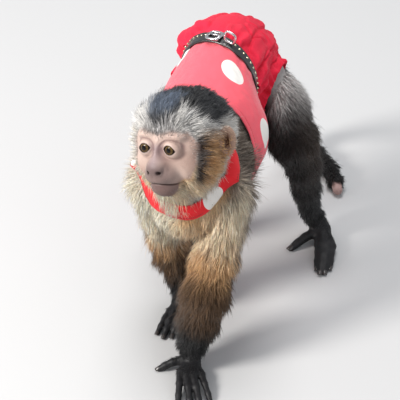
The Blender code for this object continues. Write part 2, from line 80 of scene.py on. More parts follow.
LEFT_ARM_RADII, RIGHT_ARM_RADII = (25, 22.5, 20.5, 21.5, 19, 15, 12), (26, 22, 19, 16.5, 15, 12.5, 11)
ARM_COAT = (8.5, 8.0, 7.0, 6.5, 6, 4.5, 3)
LEFT_LEG = np.array([
    (28, 262, 168), (48, 246, 143), (62, 230, 120), (73, 232, 89), (75, 240, 58), (79, 247, 28),
    (91, 246, 12),
], float)
RIGHT_LEG = np.array([
    (-26, 258, 168), (-36, 226, 146), (-38, 197, 120), (-34, 198, 89), (-28, 205, 58), (-22, 211, 28),
    (-20, 218, 12),
], float)
LEG_RADII = (24, 26, 25, 18, 14.5, 12, 11)
LEG_COAT = (8, 8, 8, 6.5, 5, 3.5, 2)
TAIL = np.array([
    (4, 286, 180), (9, 302, 164), (18, 322, 138), (29, 343, 104), (34, 364, 68), (37, 376, 36), (47, 376, 15),
    (63, 362, 11), (79, 343, 10.5), (89, 326, 9), (94, 314, 6),
], float)
TAIL_RADII = (14, 14, 14.5, 14, 13.5, 13, 12, 11.5, 11, 9.5, 6)
TAIL_COAT = (8, 8, 8.5, 8, 7.5, 7.5, 7, 6.5, 6, 4.5, 1)
NECK = np.array([(-3, 106, 152), (-4, 88, 184)], float)
NECK_RADII, NECK_COAT = (37, 37), (5.5, 6)

# Fingers and toes: knuckle, tip and radius at the knuckle. The thumb or great toe comes last.
LEFT_HAND = (
    ((10.5, 18, 8), (16.5, -16, 0), 3.5), ((16.5, 15, 8), (29, -20, 0), 3.7),
    ((22.5, 16, 8), (36.5, -16, 0), 3.6), ((28, 21, 7), (43, -6, 0), 3.3), ((7, 33, 8), (-10, 25, 0), 4.0),
)
RIGHT_HAND = (
    ((-3.5, 94, 8), (-2.5, 75, 0), 3.4), ((-9, 91.5, 8), (-10, 70, 0), 3.6),
    ((-14.5, 92, 8), (-17.3, 67.5, 0), 3.5), ((-19, 96, 7), (-24, 71, 0), 3.3),
    ((-4, 107, 8), (9, 98, 0), 4.0),
)
LEFT_FOOT = (
    ((92.5, 222, 8), (96.5, 194, 0), 3.9), ((97, 221, 8), (100.5, 189, 0), 4.1),
    ((101.5, 221, 8), (104.5, 190.5, 0), 3.9), ((105.5, 224, 7), (108, 198, 0), 3.6),
    ((85, 238, 9), (67.5, 218, 0), 5.0),
)
RIGHT_FOOT = (
    ((-13, 181, 8), (-13, 154, 0), 4.0), ((-18, 180, 8), (-18.5, 150, 0), 4.2),
    ((-23, 181, 8), (-24, 152, 0), 4.0), ((-28, 184, 7), (-29.5, 159, 0), 3.7),
    ((-10, 202, 9), (4, 187, 0), 5.0),
)
TIP_TAPER = 0.72
FLOOR_TRIM = 1.2

# The trunk's coat is deep on the breast and pressed flat under the shirt.
BREAST_COAT, COVERED_COAT, BREAST_END = 8.0, 3.5, 118.0

EYE_CENTRE, EYE_RADIUS = np.array([12.3, -27.5, 2.0]), 7.8
EAR_CENTRE, EAR_TURN = np.array([41.5, 6.0, 3.0]), math.radians(35)

SHIRT_LIFT, SHIRT_THICKNESS = 2.0, 1.1
BELT_BACK, BELT_WIDTH, BELT_THICKNESS = 214.5, 12.0, 2.2
NECKLINE_CENTRE, NECKLINE_TILT = np.array([-5.0, 88.0, 170.0]), math.radians(42)
NECKLINE_HALF, NECKLINE_FLARE, NECKLINE_WIDTH = 39.5, 7.0, 11.0
NECKLINE_TAPER, NECKLINE_EASE, NECKLINE_SHORT = 0.26, 0.15, 0.10
FRONT_EDGE_POINT, FRONT_EDGE_DIRECTION = np.array([0.0, 126.0, 160.0]), np.array([0.0, -0.912, 0.411])
BLOOMER_RINGS = np.array([
    (215, -3, 185, 34.5, 34, 20), (221, -3, 185, 36.5, 36, 20), (228, -4, 184.5, 40.5, 38.5, 19),
    (240, -4, 184, 43, 39.5, 15), (256, -4, 182, 43, 37.5, 8), (276, -4, 179, 39.5, 33.5, 0),
    (294, -3, 177, 31, 26, 0), (304, -2, 176, 16, 14, 0),
], float)


def world(points):
    return (np.asarray(points, float) - PLAN_CENTRE) * MM


def rotation(axis, angle):
    return np.array(Matrix.Rotation(angle, 3, axis))


HEAD_AXES = rotation("Z", -HEAD_YAW) @ rotation("X", -HEAD_PITCH) @ rotation("Y", HEAD_ROLL)
NECKLINE_AXES = rotation("X", NECKLINE_TILT)


def in_head(points):
    """Head coordinates of plan points: +X its left, -Y its face, +Z its crown."""
    return (points - HEAD_CENTRE) @ HEAD_AXES


def from_head(points):
    return HEAD_CENTRE + np.asarray(points, float) @ HEAD_AXES.T


# ------------------------------------------------------------------ small mathematics
def unit(vectors):
    return vectors / np.linalg.norm(vectors, axis=-1, keepdims=True).clip(1e-9)


def step(low, high, value):
    """0 below low and 1 above high, rounded at both ends. low may be the higher number."""
    share = np.clip((value - low) / (high - low), 0.0, 1.0)
    return share * share * (3 - 2 * share)


def bump(value, middle, width):
    return np.exp(-(((value - middle) / width) ** 2))


def blend(a, b, share):
    """a where share is 0 or less, b where it is 1 or more, and a mix of the two between."""
    share = np.asarray(np.clip(share, 0, 1))[..., None]
    return np.asarray(a) * (1 - share) + np.asarray(b) * share


def blend_number(a, b, share):
    return a * (1 - share) + b * share


def layered(base, *layers):
    """A base colour with (colour, share) layers laid over it in turn."""
    for tone, share in layers:
        base = blend(base, tone, share)
    return base


def turns_of(count):
    return 2 * np.pi * np.arange(count) / count


def crosswise(along, hint):
    """Two directions across one, at right angles."""
    one = unit(np.cross(along, hint))
    return one, np.cross(along, one)


def circle(one, two, turn):
    return np.cos(turn)[..., None] * one + np.sin(turn)[..., None] * two


def colour(*rgb):
    """A colour given in sRGB, 0 to 255, as linear light."""
    share = np.array(rgb) / 255
    return np.where(share <= 0.04045, share / 12.92, ((share + 0.055) / 1.055) ** 2.4)


class Noise:
    """Smooth noise from -1 to 1 in space."""

    SIDE = 32

    def __init__(self, seed):
        self.table = np.random.default_rng(seed).random((self.SIDE,) * 3) * 2 - 1

    def __call__(self, points, size):
        scaled = np.asarray(points) / size
        low = np.floor(scaled).astype(int)
        share = scaled - low
        share = share * share * (3 - 2 * share)
        total = 0.0
        for corner in np.ndindex(2, 2, 2):
            corner = np.array(corner)
            place = (low + corner) % self.SIDE
            weight = np.where(corner, share, 1 - share).prod(axis=-1)
            total = total + weight * self.table[place[..., 0], place[..., 1], place[..., 2]]
        return total


def smooth_rings(rings, steps=12):
    """More rings between the given ones, on a curve through them."""
    backs = rings[:, 0]
    slopes = np.gradient(rings, backs, axis=0)
    dense = []
    for i in range(len(rings) - 1):
        span = backs[i + 1] - backs[i]
        for t in np.linspace(0, 1, steps, endpoint=False):
            start, end = (1 + 2 * t) * (1 - t) ** 2, t * t * (3 - 2 * t)
            leave, arrive = t * (1 - t) ** 2 * span, t * t * (t - 1) * span
            dense.append(start * rings[i] + end * rings[i + 1] + leave * slopes[i] + arrive * slopes[i + 1])
    dense.append(rings[-1])
    dense = np.array(dense)
    dense[:, 0] = np.maximum.accumulate(dense[:, 0])
    return dense


class Tube:
    """A body of rings, each swung round the vertical, read at any place."""

    def __init__(self, rings):
        self.rings = smooth_rings(rings)
        self.ends = rings[0, 0], rings[-1, 0]

    def ring(self, back):
        return [np.interp(back, self.rings[:, 0], self.rings[:, k]) for k in range(1, 6)]

    def back_of(self, x, y):
        back = y
        for _ in range(4):
            side, _, _, _, swing = self.ring(back)
            back = y + (x - side) * np.tan(np.radians(swing))
        return back

    def place(self, points):
        """(angle from the left side up over the back, distance back) of plan points."""
        x, y, z = points[..., 0], points[..., 1], points[..., 2]
        back = self.back_of(x, y)
        side, height, half_width, half_height, _ = self.ring(back)
        return np.arctan2((z - height) / half_height, (x - side) / half_width), back

    def point(self, angle, back, out=0.0):
        side, height, half_width, half_height, swing = self.ring(back)
        across = (half_width + out) * np.cos(angle)
        up = (half_height + out) * np.sin(angle)
        return np.stack([side + across, back - across * np.tan(np.radians(swing)), height + up], axis=-1)

    def distance(self, x, y, z, depth=0.0):
        back = self.back_of(x, y + 0 * z)
        side, height, half_width, half_height, _ = self.ring(back)
        half_width, half_height = half_width - depth, half_height - depth
        rho = np.sqrt(((x - side) / half_width) ** 2 + ((z - height) / half_height) ** 2)
        radial = (rho - 1) * np.minimum(half_width, half_height)
        beyond = np.maximum(np.maximum(self.ends[0] - back, back - self.ends[1]), 0)
        return np.where(beyond > 0, np.sqrt(np.maximum(radial, 0) ** 2 + beyond**2), radial)


TRUNK, BLOOMERS = Tube(TRUNK_RINGS), Tube(BLOOMER_RINGS)


# ------------------------------------------------------------------ the field of distances
def bar_distance(x, y, z, start, end, start_radius, end_radius):
    along = end - start
    length2 = along @ along
    t = ((x - start[0]) * along[0] + (y - start[1]) * along[1] + (z - start[2]) * along[2]) / length2
    t = np.clip(t, 0, 1)
    dx, dy, dz = x - start[0] - t * along[0], y - start[1] - t * along[1], z - start[2] - t * along[2]
    return np.sqrt(dx * dx + dy * dy + dz * dz) - (start_radius + t * (end_radius - start_radius))


def ball_distance(x, y, z, centre, radii):
    dx, dy, dz = (x - centre[0]) / radii[0], (y - centre[1]) / radii[1], (z - centre[2]) / radii[2]
    near = np.sqrt(dx * dx + dy * dy + dz * dz)
    steep = np.sqrt((dx / radii[0]) ** 2 + (dy / radii[1]) ** 2 + (dz / radii[2]) ** 2)
    return near * (near - 1) / np.maximum(steep, 1e-6)


def smooth_min(a, b, width):
    near = np.maximum(width - np.abs(a - b), 0)
    return np.minimum(a, b) - near * near / (4 * width)


def smooth_max(a, b, width):
    return -smooth_min(-a, -b, width)


class Field:
    """Signed distances on a grid of planes, which may stand closer where more detail is wanted."""

    FAR = 50.0

    def __init__(self, planes):
        self.planes = [np.asarray(p, np.float32) for p in planes]
        self.values = np.full([len(p) for p in self.planes], self.FAR, np.float32)

    def window(self, low, high, margin=9.0):
        """The slices of the grid round a box, and its open coordinates."""
        cut = [
            slice(max(0, np.searchsorted(p, a - margin) - 1), np.searchsorted(p, b + margin) + 1)
            for p, a, b in zip(self.planes, low, high)
        ]
        x, y, z = (p[s] for p, s in zip(self.planes, cut))
        return tuple(cut), (x[:, None, None], y[None, :, None], z[None, None, :])

    def add(self, low, high, distance, width):
        cut, grid = self.window(low, high)
        self.values[cut] = smooth_min(self.values[cut], distance(*grid), width)

    def add_chain(self, points, radii, width):
        for a, b, ra, rb in zip(points[:-1], points[1:], radii[:-1], radii[1:]):
            reach = max(ra, rb)
            low, high = np.minimum(a, b) - reach, np.maximum(a, b) + reach
            self.add(low, high, lambda x, y, z: bar_distance(x, y, z, a, b, ra, rb), width)

    def surface(self):
        return surface_nets(self.values, self.planes)


def surface_nets(values, planes):
    """(points, quads) of the zero level: one point in each cell that it crosses."""
    inside = values < 0
    shape = tuple(n - 1 for n in values.shape)
    count = np.zeros(shape, np.uint8)
    corners = list(np.ndindex(2, 2, 2))
    for corner in corners:
        count += inside[tuple(slice(c, c + n) for c, n in zip(corner, shape))]
    cells = np.argwhere((count > 0) & (count < 8))
    ids = np.full(shape, -1, np.int32)
    ids[tuple(cells.T)] = np.arange(len(cells))
    total, crossings = np.zeros((len(cells), 3)), np.zeros(len(cells))
    for axis in range(3):
        for first in corners:
            if first[axis]:
                continue
            second = tuple(c + (n == axis) for n, c in enumerate(first))
            a, b = cells + first, cells + second
            va, vb = values[tuple(a.T)], values[tuple(b.T)]
            cross = (va < 0) != (vb < 0)
            t = va / np.where(cross, va - vb, 1)
            for n in range(3):
                pa, pb = planes[n][a[:, n]], planes[n][b[:, n]]
                total[:, n] += np.where(cross, pa + t * (pb - pa), 0)
            crossings += cross
    points = total / crossings[:, None]
    quads = []
    for axis in range(3):
        one, two = (axis + 1) % 3, (axis + 2) % 3
        low = np.moveaxis(inside, axis, 0)
        edges = np.argwhere(low[:-1] != low[1:])
        places = np.empty_like(edges)
        places[:, [axis, *(n for n in range(3) if n != axis)]] = edges
        ok = (places[:, [one, two]] > 0).all(axis=1)
        ok &= (places[:, one] < shape[one]) & (places[:, two] < shape[two])
        places = places[ok]
        around = []
        for back_one, back_two in ((1, 1), (0, 1), (0, 0), (1, 0)):
            cell = places.copy()
            cell[:, one] -= back_one
            cell[:, two] -= back_two
            around.append(ids[tuple(cell.T)])
        quad = np.stack(around, axis=1)
        flip = ~inside[tuple(places.T)]
        quad[flip] = quad[flip][:, ::-1]
        quads.append(quad)
    quads = np.concatenate(quads)
    return points, quads[(quads >= 0).all(axis=1)]


def relaxed(points, quads, rounds, strength=0.5):
    """Points moved towards their neighbours, to take out the grid's steps."""
    ends = np.concatenate([quads[:, [k, (k + 1) % 4]] for k in range(4)])
    for _ in range(rounds):
        total = np.zeros_like(points)
        for n in range(3):
            total[:, n] = np.bincount(ends[:, 0], points[ends[:, 1], n], len(points))
            total[:, n] += np.bincount(ends[:, 1], points[ends[:, 0], n], len(points))
        degree = np.bincount(ends.ravel(), minlength=len(points))[:, None]
        points = points + strength * (total / degree.clip(1) - points)
    return points


def planes_of(*stretches):
    """Plane coordinates from (start, end, spacing) stretches, one after another."""
    return np.concatenate([np.arange(*stretch) for stretch in stretches])


# ------------------------------------------------------------------ the skin's shape
HEAD_BALLS = (  # centre, radii and how softly each joins; those off the middle stand on both sides
    ((0, 8, 7), (36.5, 36.5, 33.0), 8.0),             # cranium
    ((0, -7, 18), (29.5, 23, 15.0), 8.0),             # forehead
    ((0, -14, -3), (26.5, 20.5, 25), 8.0),            # face
    ((0, -2, -26), (18, 17, 10), 8.0),                # throat
    ((18, -12, -13), (15.5, 16.5, 18), 5.0),          # cheek
    ((21, -11, 3), (12, 13.5, 12), 5.0),              # cheekbone and temple
    ((12.5, -27.0, 11.5), (10.0, 5.6, 3.6), 5.0),     # brow
    ((25, 0, -8), (10, 17, 17), 5.0),                 # jaw's corner
    ((0, -26.5, -18), (15.5, 14.5, 12.0), 4.5),       # muzzle
    ((0, -30.5, -21.0), (13.5, 11.5, 7.0), 4.5),      # upper lip
    ((0, -25.5, -30.5), (12.5, 12, 9.0), 4.5),        # chin
    ((0, -37.8, -13.5), (8.2, 5.4, 5.0), 4.5),        # nose tip
)
NOSE_RIDGE = (np.array([0, -29.5, 5.0]), np.array([0, -35.5, -11.0]), 4.6, 6.4)
MOUTH_HEIGHT, MOUTH_HALF, MOUTH_DROOP = -25.8, 13.0, 2.2
LID_HALF, UPPER_LID, LOWER_LID = 5.6, 3.8, 3.3
NOSTRIL = np.array([5.0, -41.6, -15.8])


def add_head(field):
    low, high = HEAD_CENTRE - 54, HEAD_CENTRE + 50
    cut, grid = field.window(low, high, 0.0)
    local = [sum(HEAD_AXES[n, k] * (grid[n] - HEAD_CENTRE[n]) for n in range(3)) for k in range(3)]
    across, y, z = np.abs(local[0]).astype(np.float32), *(value.astype(np.float32) for value in local[1:])
    skull = np.full(across.shape, Field.FAR, np.float32)
    for centre, radii, width in HEAD_BALLS:
        skull = smooth_min(skull, ball_distance(across, y, z, centre, radii), width)
    skull = smooth_min(skull, bar_distance(across, y, z, *NOSE_RIDGE), 6.0)
    for add in (add_eyelids, add_mouth_and_nose, add_ears):
        skull = add(skull, across, y, z)
    field.values[cut] = smooth_min(field.values[cut], skull, 7.0)


def eye_opening(u, v):
    """How far a point is outside the almond of the lids, in the eye's own left and up."""
    share = np.clip(np.abs(u) / LID_HALF, 0, 1.6) ** 2.3
    lid = np.where(v > 0, UPPER_LID, LOWER_LID) * (1 - share)
    return (np.abs(v) - lid) * 0.8


def add_eyelids(skull, across, y, z):
    u, w, v = across - EYE_CENTRE[0], -(y - EYE_CENTRE[1]), z - EYE_CENTRE[2]
    v = v + 0.10 * u
    reach = np.sqrt(u * u + w * w + v * v)
    hollow = ball_distance(across, y, z, (12.8, -38.5, 1.5), (9.5, 6.8, 7.0))
    skull = smooth_max(skull, -hollow, 5.0)
    skull = smooth_min(skull, reach - (EYE_RADIUS + 1.1), 1.6)
    ring = np.sqrt(u * u + (v * 1.25) ** 2)
    front = w > 2
    fold = bump(ring, 9.3, 0.8) * step(-1.0, 3.0, v) + 0.6 * bump(ring, 9.8, 0.8) * step(0.0, -3.0, v)
    fold += 0.6 * bump(ring, 11.6, 0.9) * step(0.0, 4.0, v)
    skull = skull + np.where(front, 0.7 * fold, 0)
    opening = np.maximum(eye_opening(u, v), (EYE_RADIUS - 0.9) - reach)
    return np.where(front, smooth_max(skull, -opening, 0.5), skull)


def mouth_line(across):
    return MOUTH_HEIGHT - MOUTH_DROOP * (across / MOUTH_HALF) ** 2


def add_mouth_and_nose(skull, across, y, z):
    front = step(-18, -24, y)
    line = mouth_line(across)
    lips = bump(z, line, 0.85) * step(MOUTH_HALF + 1.0, MOUTH_HALF - 3.0, across) * front
    lip_roll = bump(z, line + 2.4, 1.6) * step(MOUTH_HALF - 2, 3, across) * front
    philtrum = bump(across, 0, 1.4) * bump(z, -19.5, 2.8) * front
    wing = bump(across, 8.3, 1.3) * bump(z, -14.5, 3.4) * front
    skull = skull + 1.5 * lips - 0.35 * lip_roll + 0.5 * philtrum + 0.8 * wing
    return smooth_max(skull, -ball_distance(across, y, z, NOSTRIL, (1.9, 3.2, 1.5)), 0.8)


def ear_frame(across, y, z):
    """Coordinates on the ear: out of the head, along and up."""
    dx, dy, dz = across - EAR_CENTRE[0], y - EAR_CENTRE[1], z - EAR_CENTRE[2]
    cos, sin = math.cos(EAR_TURN), math.sin(EAR_TURN)
    return dx * cos - dy * sin, dx * sin + dy * cos, dz


EAR_BALLS = (  # out of the head, along and up: centre, radii, how softly it joins, and whether it is cut away
    ((3.6, -0.6, -1.0), (4.4, 6.0, 9.8), 1.4, True),    # bowl
    ((0.8, 2.2, 1.5), (1.4, 1.5, 7.0), 1.6, False),     # inner fold
    ((1.0, -6.0, -2.0), (2.2, 2.4, 3.4), 1.6, False),   # tragus
    ((1.0, -2.2, -2.6), (3.4, 2.0, 2.6), 1.0, True),    # canal
)


def add_ears(skull, across, y, z):
    place = ear_frame(across, y, z)
    ear = ball_distance(*place, (-0.6, 0, -0.6), (2.8, 8.2, 12.4))
    for centre, radii, width, cut in EAR_BALLS:
        ball = ball_distance(*place, centre, radii)
        ear = smooth_max(ear, -ball, width) if cut else smooth_min(ear, ball, width)
    return smooth_min(skull, ear, 3.0)


def digit_points(knuckle, tip, radius):
    """A digit's joints, a little arched, with its tip resting on the floor."""
    start, end = np.array(knuckle, float), np.array((*tip[:2], radius * TIP_TAPER - FLOOR_TRIM), float)
    shares, arch = (0, 0.38, 0.72, 1), (0, 1.6, 1.12, 0)
    points = np.array([start * (1 - share) + end * share + (0, 0, up) for share, up in zip(shares, arch)])
    return points, radius * np.array([0.98, 0.86, 0.80, TIP_TAPER])


def add_extremity(field, wrist, palm, digits, palm_radius):
    """A hand or foot: a bar from the wrist to each knuckle, and the digits."""
    palm = np.array([palm[0], palm[1], palm_radius - FLOOR_TRIM])
    for knuckle, tip, radius in digits:
        points, radii = digit_points(knuckle, tip, radius)
        root = np.array([0.35 * palm + 0.65 * wrist, palm, points[0]])
        field.add_chain(root, (palm_radius * 0.86, palm_radius * 0.80, radius * 1.05), 3.0)
        field.add_chain(points, radii, 1.6)


def trunk_coat(back):
    return BREAST_COAT + (COVERED_COAT - BREAST_COAT) * step(BREAST_END - 6, BREAST_END + 14, back)


def add_trunk(field):
    def distance(x, y, z):
        return TRUNK.distance(x, y, z, trunk_coat(TRUNK.back_of(x, y + 0 * z)))

    field.add((-50, 60, 95), (50, 305, 235), distance, 6.0)


def skin_radii(radii, coat):
    return tuple(r - c for r, c in zip(radii, coat))


def skin_field():
    field = Field((
        planes_of((-76, -46, 1.5), (-46, -26, 0.9), (-26, 22, 0.6), (22, 50, 0.9), (50, 124, 1.5)),
        planes_of((-30, 20, 1.1), (20, 56, 0.6), (56, 118, 0.95), (118, 400, 1.7)),
        planes_of((-2, 165, 1.5), (165, 196, 0.9), (196, 236, 0.6), (236, 266, 0.95)),
    ))
    add_trunk(field)
    field.add_chain(NECK, skin_radii(NECK_RADII, NECK_COAT), 10.0)
    for points, radii, coat in (
        (LEFT_ARM, LEFT_ARM_RADII, ARM_COAT), (RIGHT_ARM, RIGHT_ARM_RADII, ARM_COAT),
        (LEFT_LEG, LEG_RADII, LEG_COAT), (RIGHT_LEG, LEG_RADII, LEG_COAT),
    ):
        field.add_chain(points[:6], skin_radii(radii, coat)[:6], 6.0)
    field.add_chain(TAIL, skin_radii(TAIL_RADII, TAIL_COAT), 4.0)
    for limb, digits, palm_radius in (
        (LEFT_ARM, LEFT_HAND, 8.0), (RIGHT_ARM, RIGHT_HAND, 8.0),
        (LEFT_LEG, LEFT_FOOT, 8.6), (RIGHT_LEG, RIGHT_FOOT, 8.6),
    ):
        add_extremity(field, limb[5], limb[6], digits, palm_radius)
    add_head(field)
    field.values = smooth_max(field.values, -field.planes[2][None, None, :], 0.6)
    return field


# ------------------------------------------------------------------ the animal's parts, from point to point
class Limb:
    """A chain of points along a limb: where on it a point lies, and which way the limb runs there."""

    def __init__(self, name, points, radii):
        self.name, self.points, self.radii = name, points, np.array(radii, float)
        self.tangents = unit(np.gradient(points, axis=0))

    def read(self, points):
        """(place along the chain, gap to the skin, the limb's direction, the way out of it) of points."""
        best = np.full(len(points), np.inf)
        place, gap = np.zeros((2, len(points)))
        axis, near = np.zeros((2, len(points), 3))
        for i in range(len(self.points) - 1):
            start, along = self.points[i], self.points[i + 1] - self.points[i]
            t = np.clip((points - start) @ along / (along @ along), 0, 1)
            foot = start + t[:, None] * along
            away = np.linalg.norm(points - foot, axis=1)
            closer = away < best
            best = np.where(closer, away, best)
            place = np.where(closer, i + t, place)
            gap = np.where(closer, away - self.radii[i] - t * (self.radii[i + 1] - self.radii[i]), gap)
            axis = np.where(closer[:, None], blend(self.tangents[i], self.tangents[i + 1], t), axis)
            near = np.where(closer[:, None], foot, near)
        return place, gap, unit(axis), unit(points - near)


def limbs():
    arm = skin_radii(LEFT_ARM_RADII, ARM_COAT), skin_radii(RIGHT_ARM_RADII, ARM_COAT)
    leg = skin_radii(LEG_RADII, LEG_COAT)
    return (
        Limb("arm_left", LEFT_ARM, arm[0]), Limb("arm_right", RIGHT_ARM, arm[1]),
        Limb("leg_left", LEFT_LEG, leg), Limb("leg_right", RIGHT_LEG, leg),
        Limb("tail", TAIL, skin_radii(TAIL_RADII, TAIL_COAT)),
    )


PARTS = ("head", "trunk", "arm_left", "arm_right", "leg_left", "leg_right", "tail")

WHITE, PALE_GREY, MID_GREY = colour(244, 241, 236), colour(190, 187, 186), colour(116, 109, 107)
# The third colour on the next line is a painted reflection of the sky: the blue-grey sheen laid on the front
# of the black cap.
BLACK, BLUE_BLACK, PAINTED_SKY_SHEEN = colour(14, 13, 15), colour(32, 35, 42), colour(112, 124, 142)
DARK_BROWN, BROWN = colour(42, 29, 21), colour(92, 70, 50)
GOLD, TAN, CREAM = colour(206, 150, 92), colour(228, 184, 132), colour(250, 240, 218)
FROST = colour(188, 176, 162)
SKIN_BLACK = colour(24, 23, 25)
FACE_PINK, FACE_LIGHT, MUZZLE_GREY = colour(184, 153, 141), colour(212, 188, 176), colour(118, 99, 96)
STRIPE_BROWN, FACE_SHADE = colour(48, 29, 17), 0.82


class Look:
    """What the coat and the skin look like at each of a set of points."""

    FIELDS = ("root", "tip", "skin", "flow", "length", "lift", "density", "width")

    def __init__(self, count):
        self.root, self.tip, self.skin, self.flow = (np.zeros((count, 3)) for _ in range(4))
        self.length, self.lift, self.density, self.width = (np.zeros(count) for _ in range(4))

    def add(self, other, weight):
        for name in self.FIELDS:
            value = getattr(other, name)
            share = weight[:, None] if value.ndim == 2 else weight
            setattr(self, name, getattr(self, name) + value * share)


def head_angles(local):
    """Bearing from the nose round either side, and height above the ears' level, in degrees."""
    across = np.abs(local[:, 0])
    bearing = np.degrees(np.arctan2(across, -local[:, 1]))
    height = np.degrees(np.arctan2(local[:, 2], np.hypot(local[:, 0], local[:, 1])))
    return bearing, height


CAP_EDGE = (  # the black cap's lower edge: bearing, height
    (0, 38), (6, 41), (14, 47), (30, 52), (43, 57), (53, 64), (60, 52), (66, 41), (77, 33), (88, 27),
    (104, 30), (125, 22), (150, 8), (180, 0),
)
HAIRLINE = ((0, 23), (12, 24), (28, 26), (45, 26), (54, 18), (60, 6), (66, 0))
JAWLINE = ((0, -64), (18, -54), (32, -44), (44, -34), (54, -18), (62, 0))


def eye_rings(local):
    """Distance from the nearer eye's axis, place outwards and up from it, and share of the face's front."""
    u, v = np.abs(local[:, 0]) - EYE_CENTRE[0], local[:, 2] - EYE_CENTRE[2]
    return np.sqrt(u * u + (v * 1.2) ** 2), u, v + 0.10 * u, step(-14, -20, local[:, 1])


def face_skin(local, noise):
    """The bare face: pale round the eyes, greyer on the nose and muzzle."""
    x, y, z = local.T
    across, line = np.abs(x), mouth_line(np.abs(x))
    ring, u, v, front = eye_rings(local)
    rim = eye_opening(u, v)
    snout = step(1.1, 0.5, np.hypot(x / 18, (z + 21) / 17)) * step(-20, -28, y)
    lips = bump(z, line, 0.8) * step(MOUTH_HALF + 1, MOUTH_HALF - 1.5, across) * step(-18, -24, y)
    folds = bump(ring, 9.6, 1.4) * step(-3, 4, v) + 0.5 * bump(ring, 10.5, 1.6) * step(2, -4, v)
    return FACE_SHADE * layered(
        FACE_PINK,
        (FACE_LIGHT, 0.5 + 0.5 * noise(local, 9.0)),
        # Painted light: the face's right side, which faces the key lamp, made paler.
        (FACE_LIGHT, 0.7 * step(6, -16, x) * step(-30, 8, z)),
        # Painted shade: the left cheek, away from the key lamp, darkened.
        (colour(150, 118, 104), 0.65 * step(14, 30, x) * step(10, -8, z)),    # left cheek
        (colour(92, 77, 71), 0.8 * step(-27, -34, z)),                        # chin
        (MUZZLE_GREY, 0.85 * snout),
        (colour(150, 131, 134), 0.75 * bump(across, 0, 5.0) * step(9, 3, z) * step(-17, -8, z)),  # bridge
        (colour(112, 92, 90), 0.75 * bump(across, 0, 8) * bump(z, -13.5, 5.0) * step(-32, -37, y)),
        # Painted shade: the nostril hollows filled with near black.
        (colour(30, 17, 17), 0.95 * bump(across, 5.4, 2.0) * bump(z, -16.0, 1.8) * step(-34, -38, y)),
        (colour(116, 88, 84), 0.65 * step(line + 0.4, line - 2.5, z) * step(-20, -26, y)),    # lower lip
        (colour(62, 36, 34), 0.85 * lips),
        (colour(112, 84, 88), 0.7 * bump(u, -7.5, 4.0) * bump(v, -0.5, 5.0) * front),    # eyes' inner ends
        # Painted shade in the creases of the lid folds.
        (colour(112, 80, 80), 0.6 * np.clip(folds * front, 0, 1)),
        (colour(214, 190, 180), 0.75 * bump(rim, 1.0, 0.55) * front),
        (colour(28, 17, 16), 0.97 * bump(rim, 0.05, 0.5) * front),
    )


def ear_share(local):
    out, along, up = ear_frame(np.abs(local[:, 0]), local[:, 1], local[:, 2])
    reach = np.sqrt((out / 6) ** 2 + (along / 10.0) ** 2 + (up / 14.6) ** 2)
    return step(1.12, 0.92, reach) * step(-5.0, -2.0, out), out, along, up


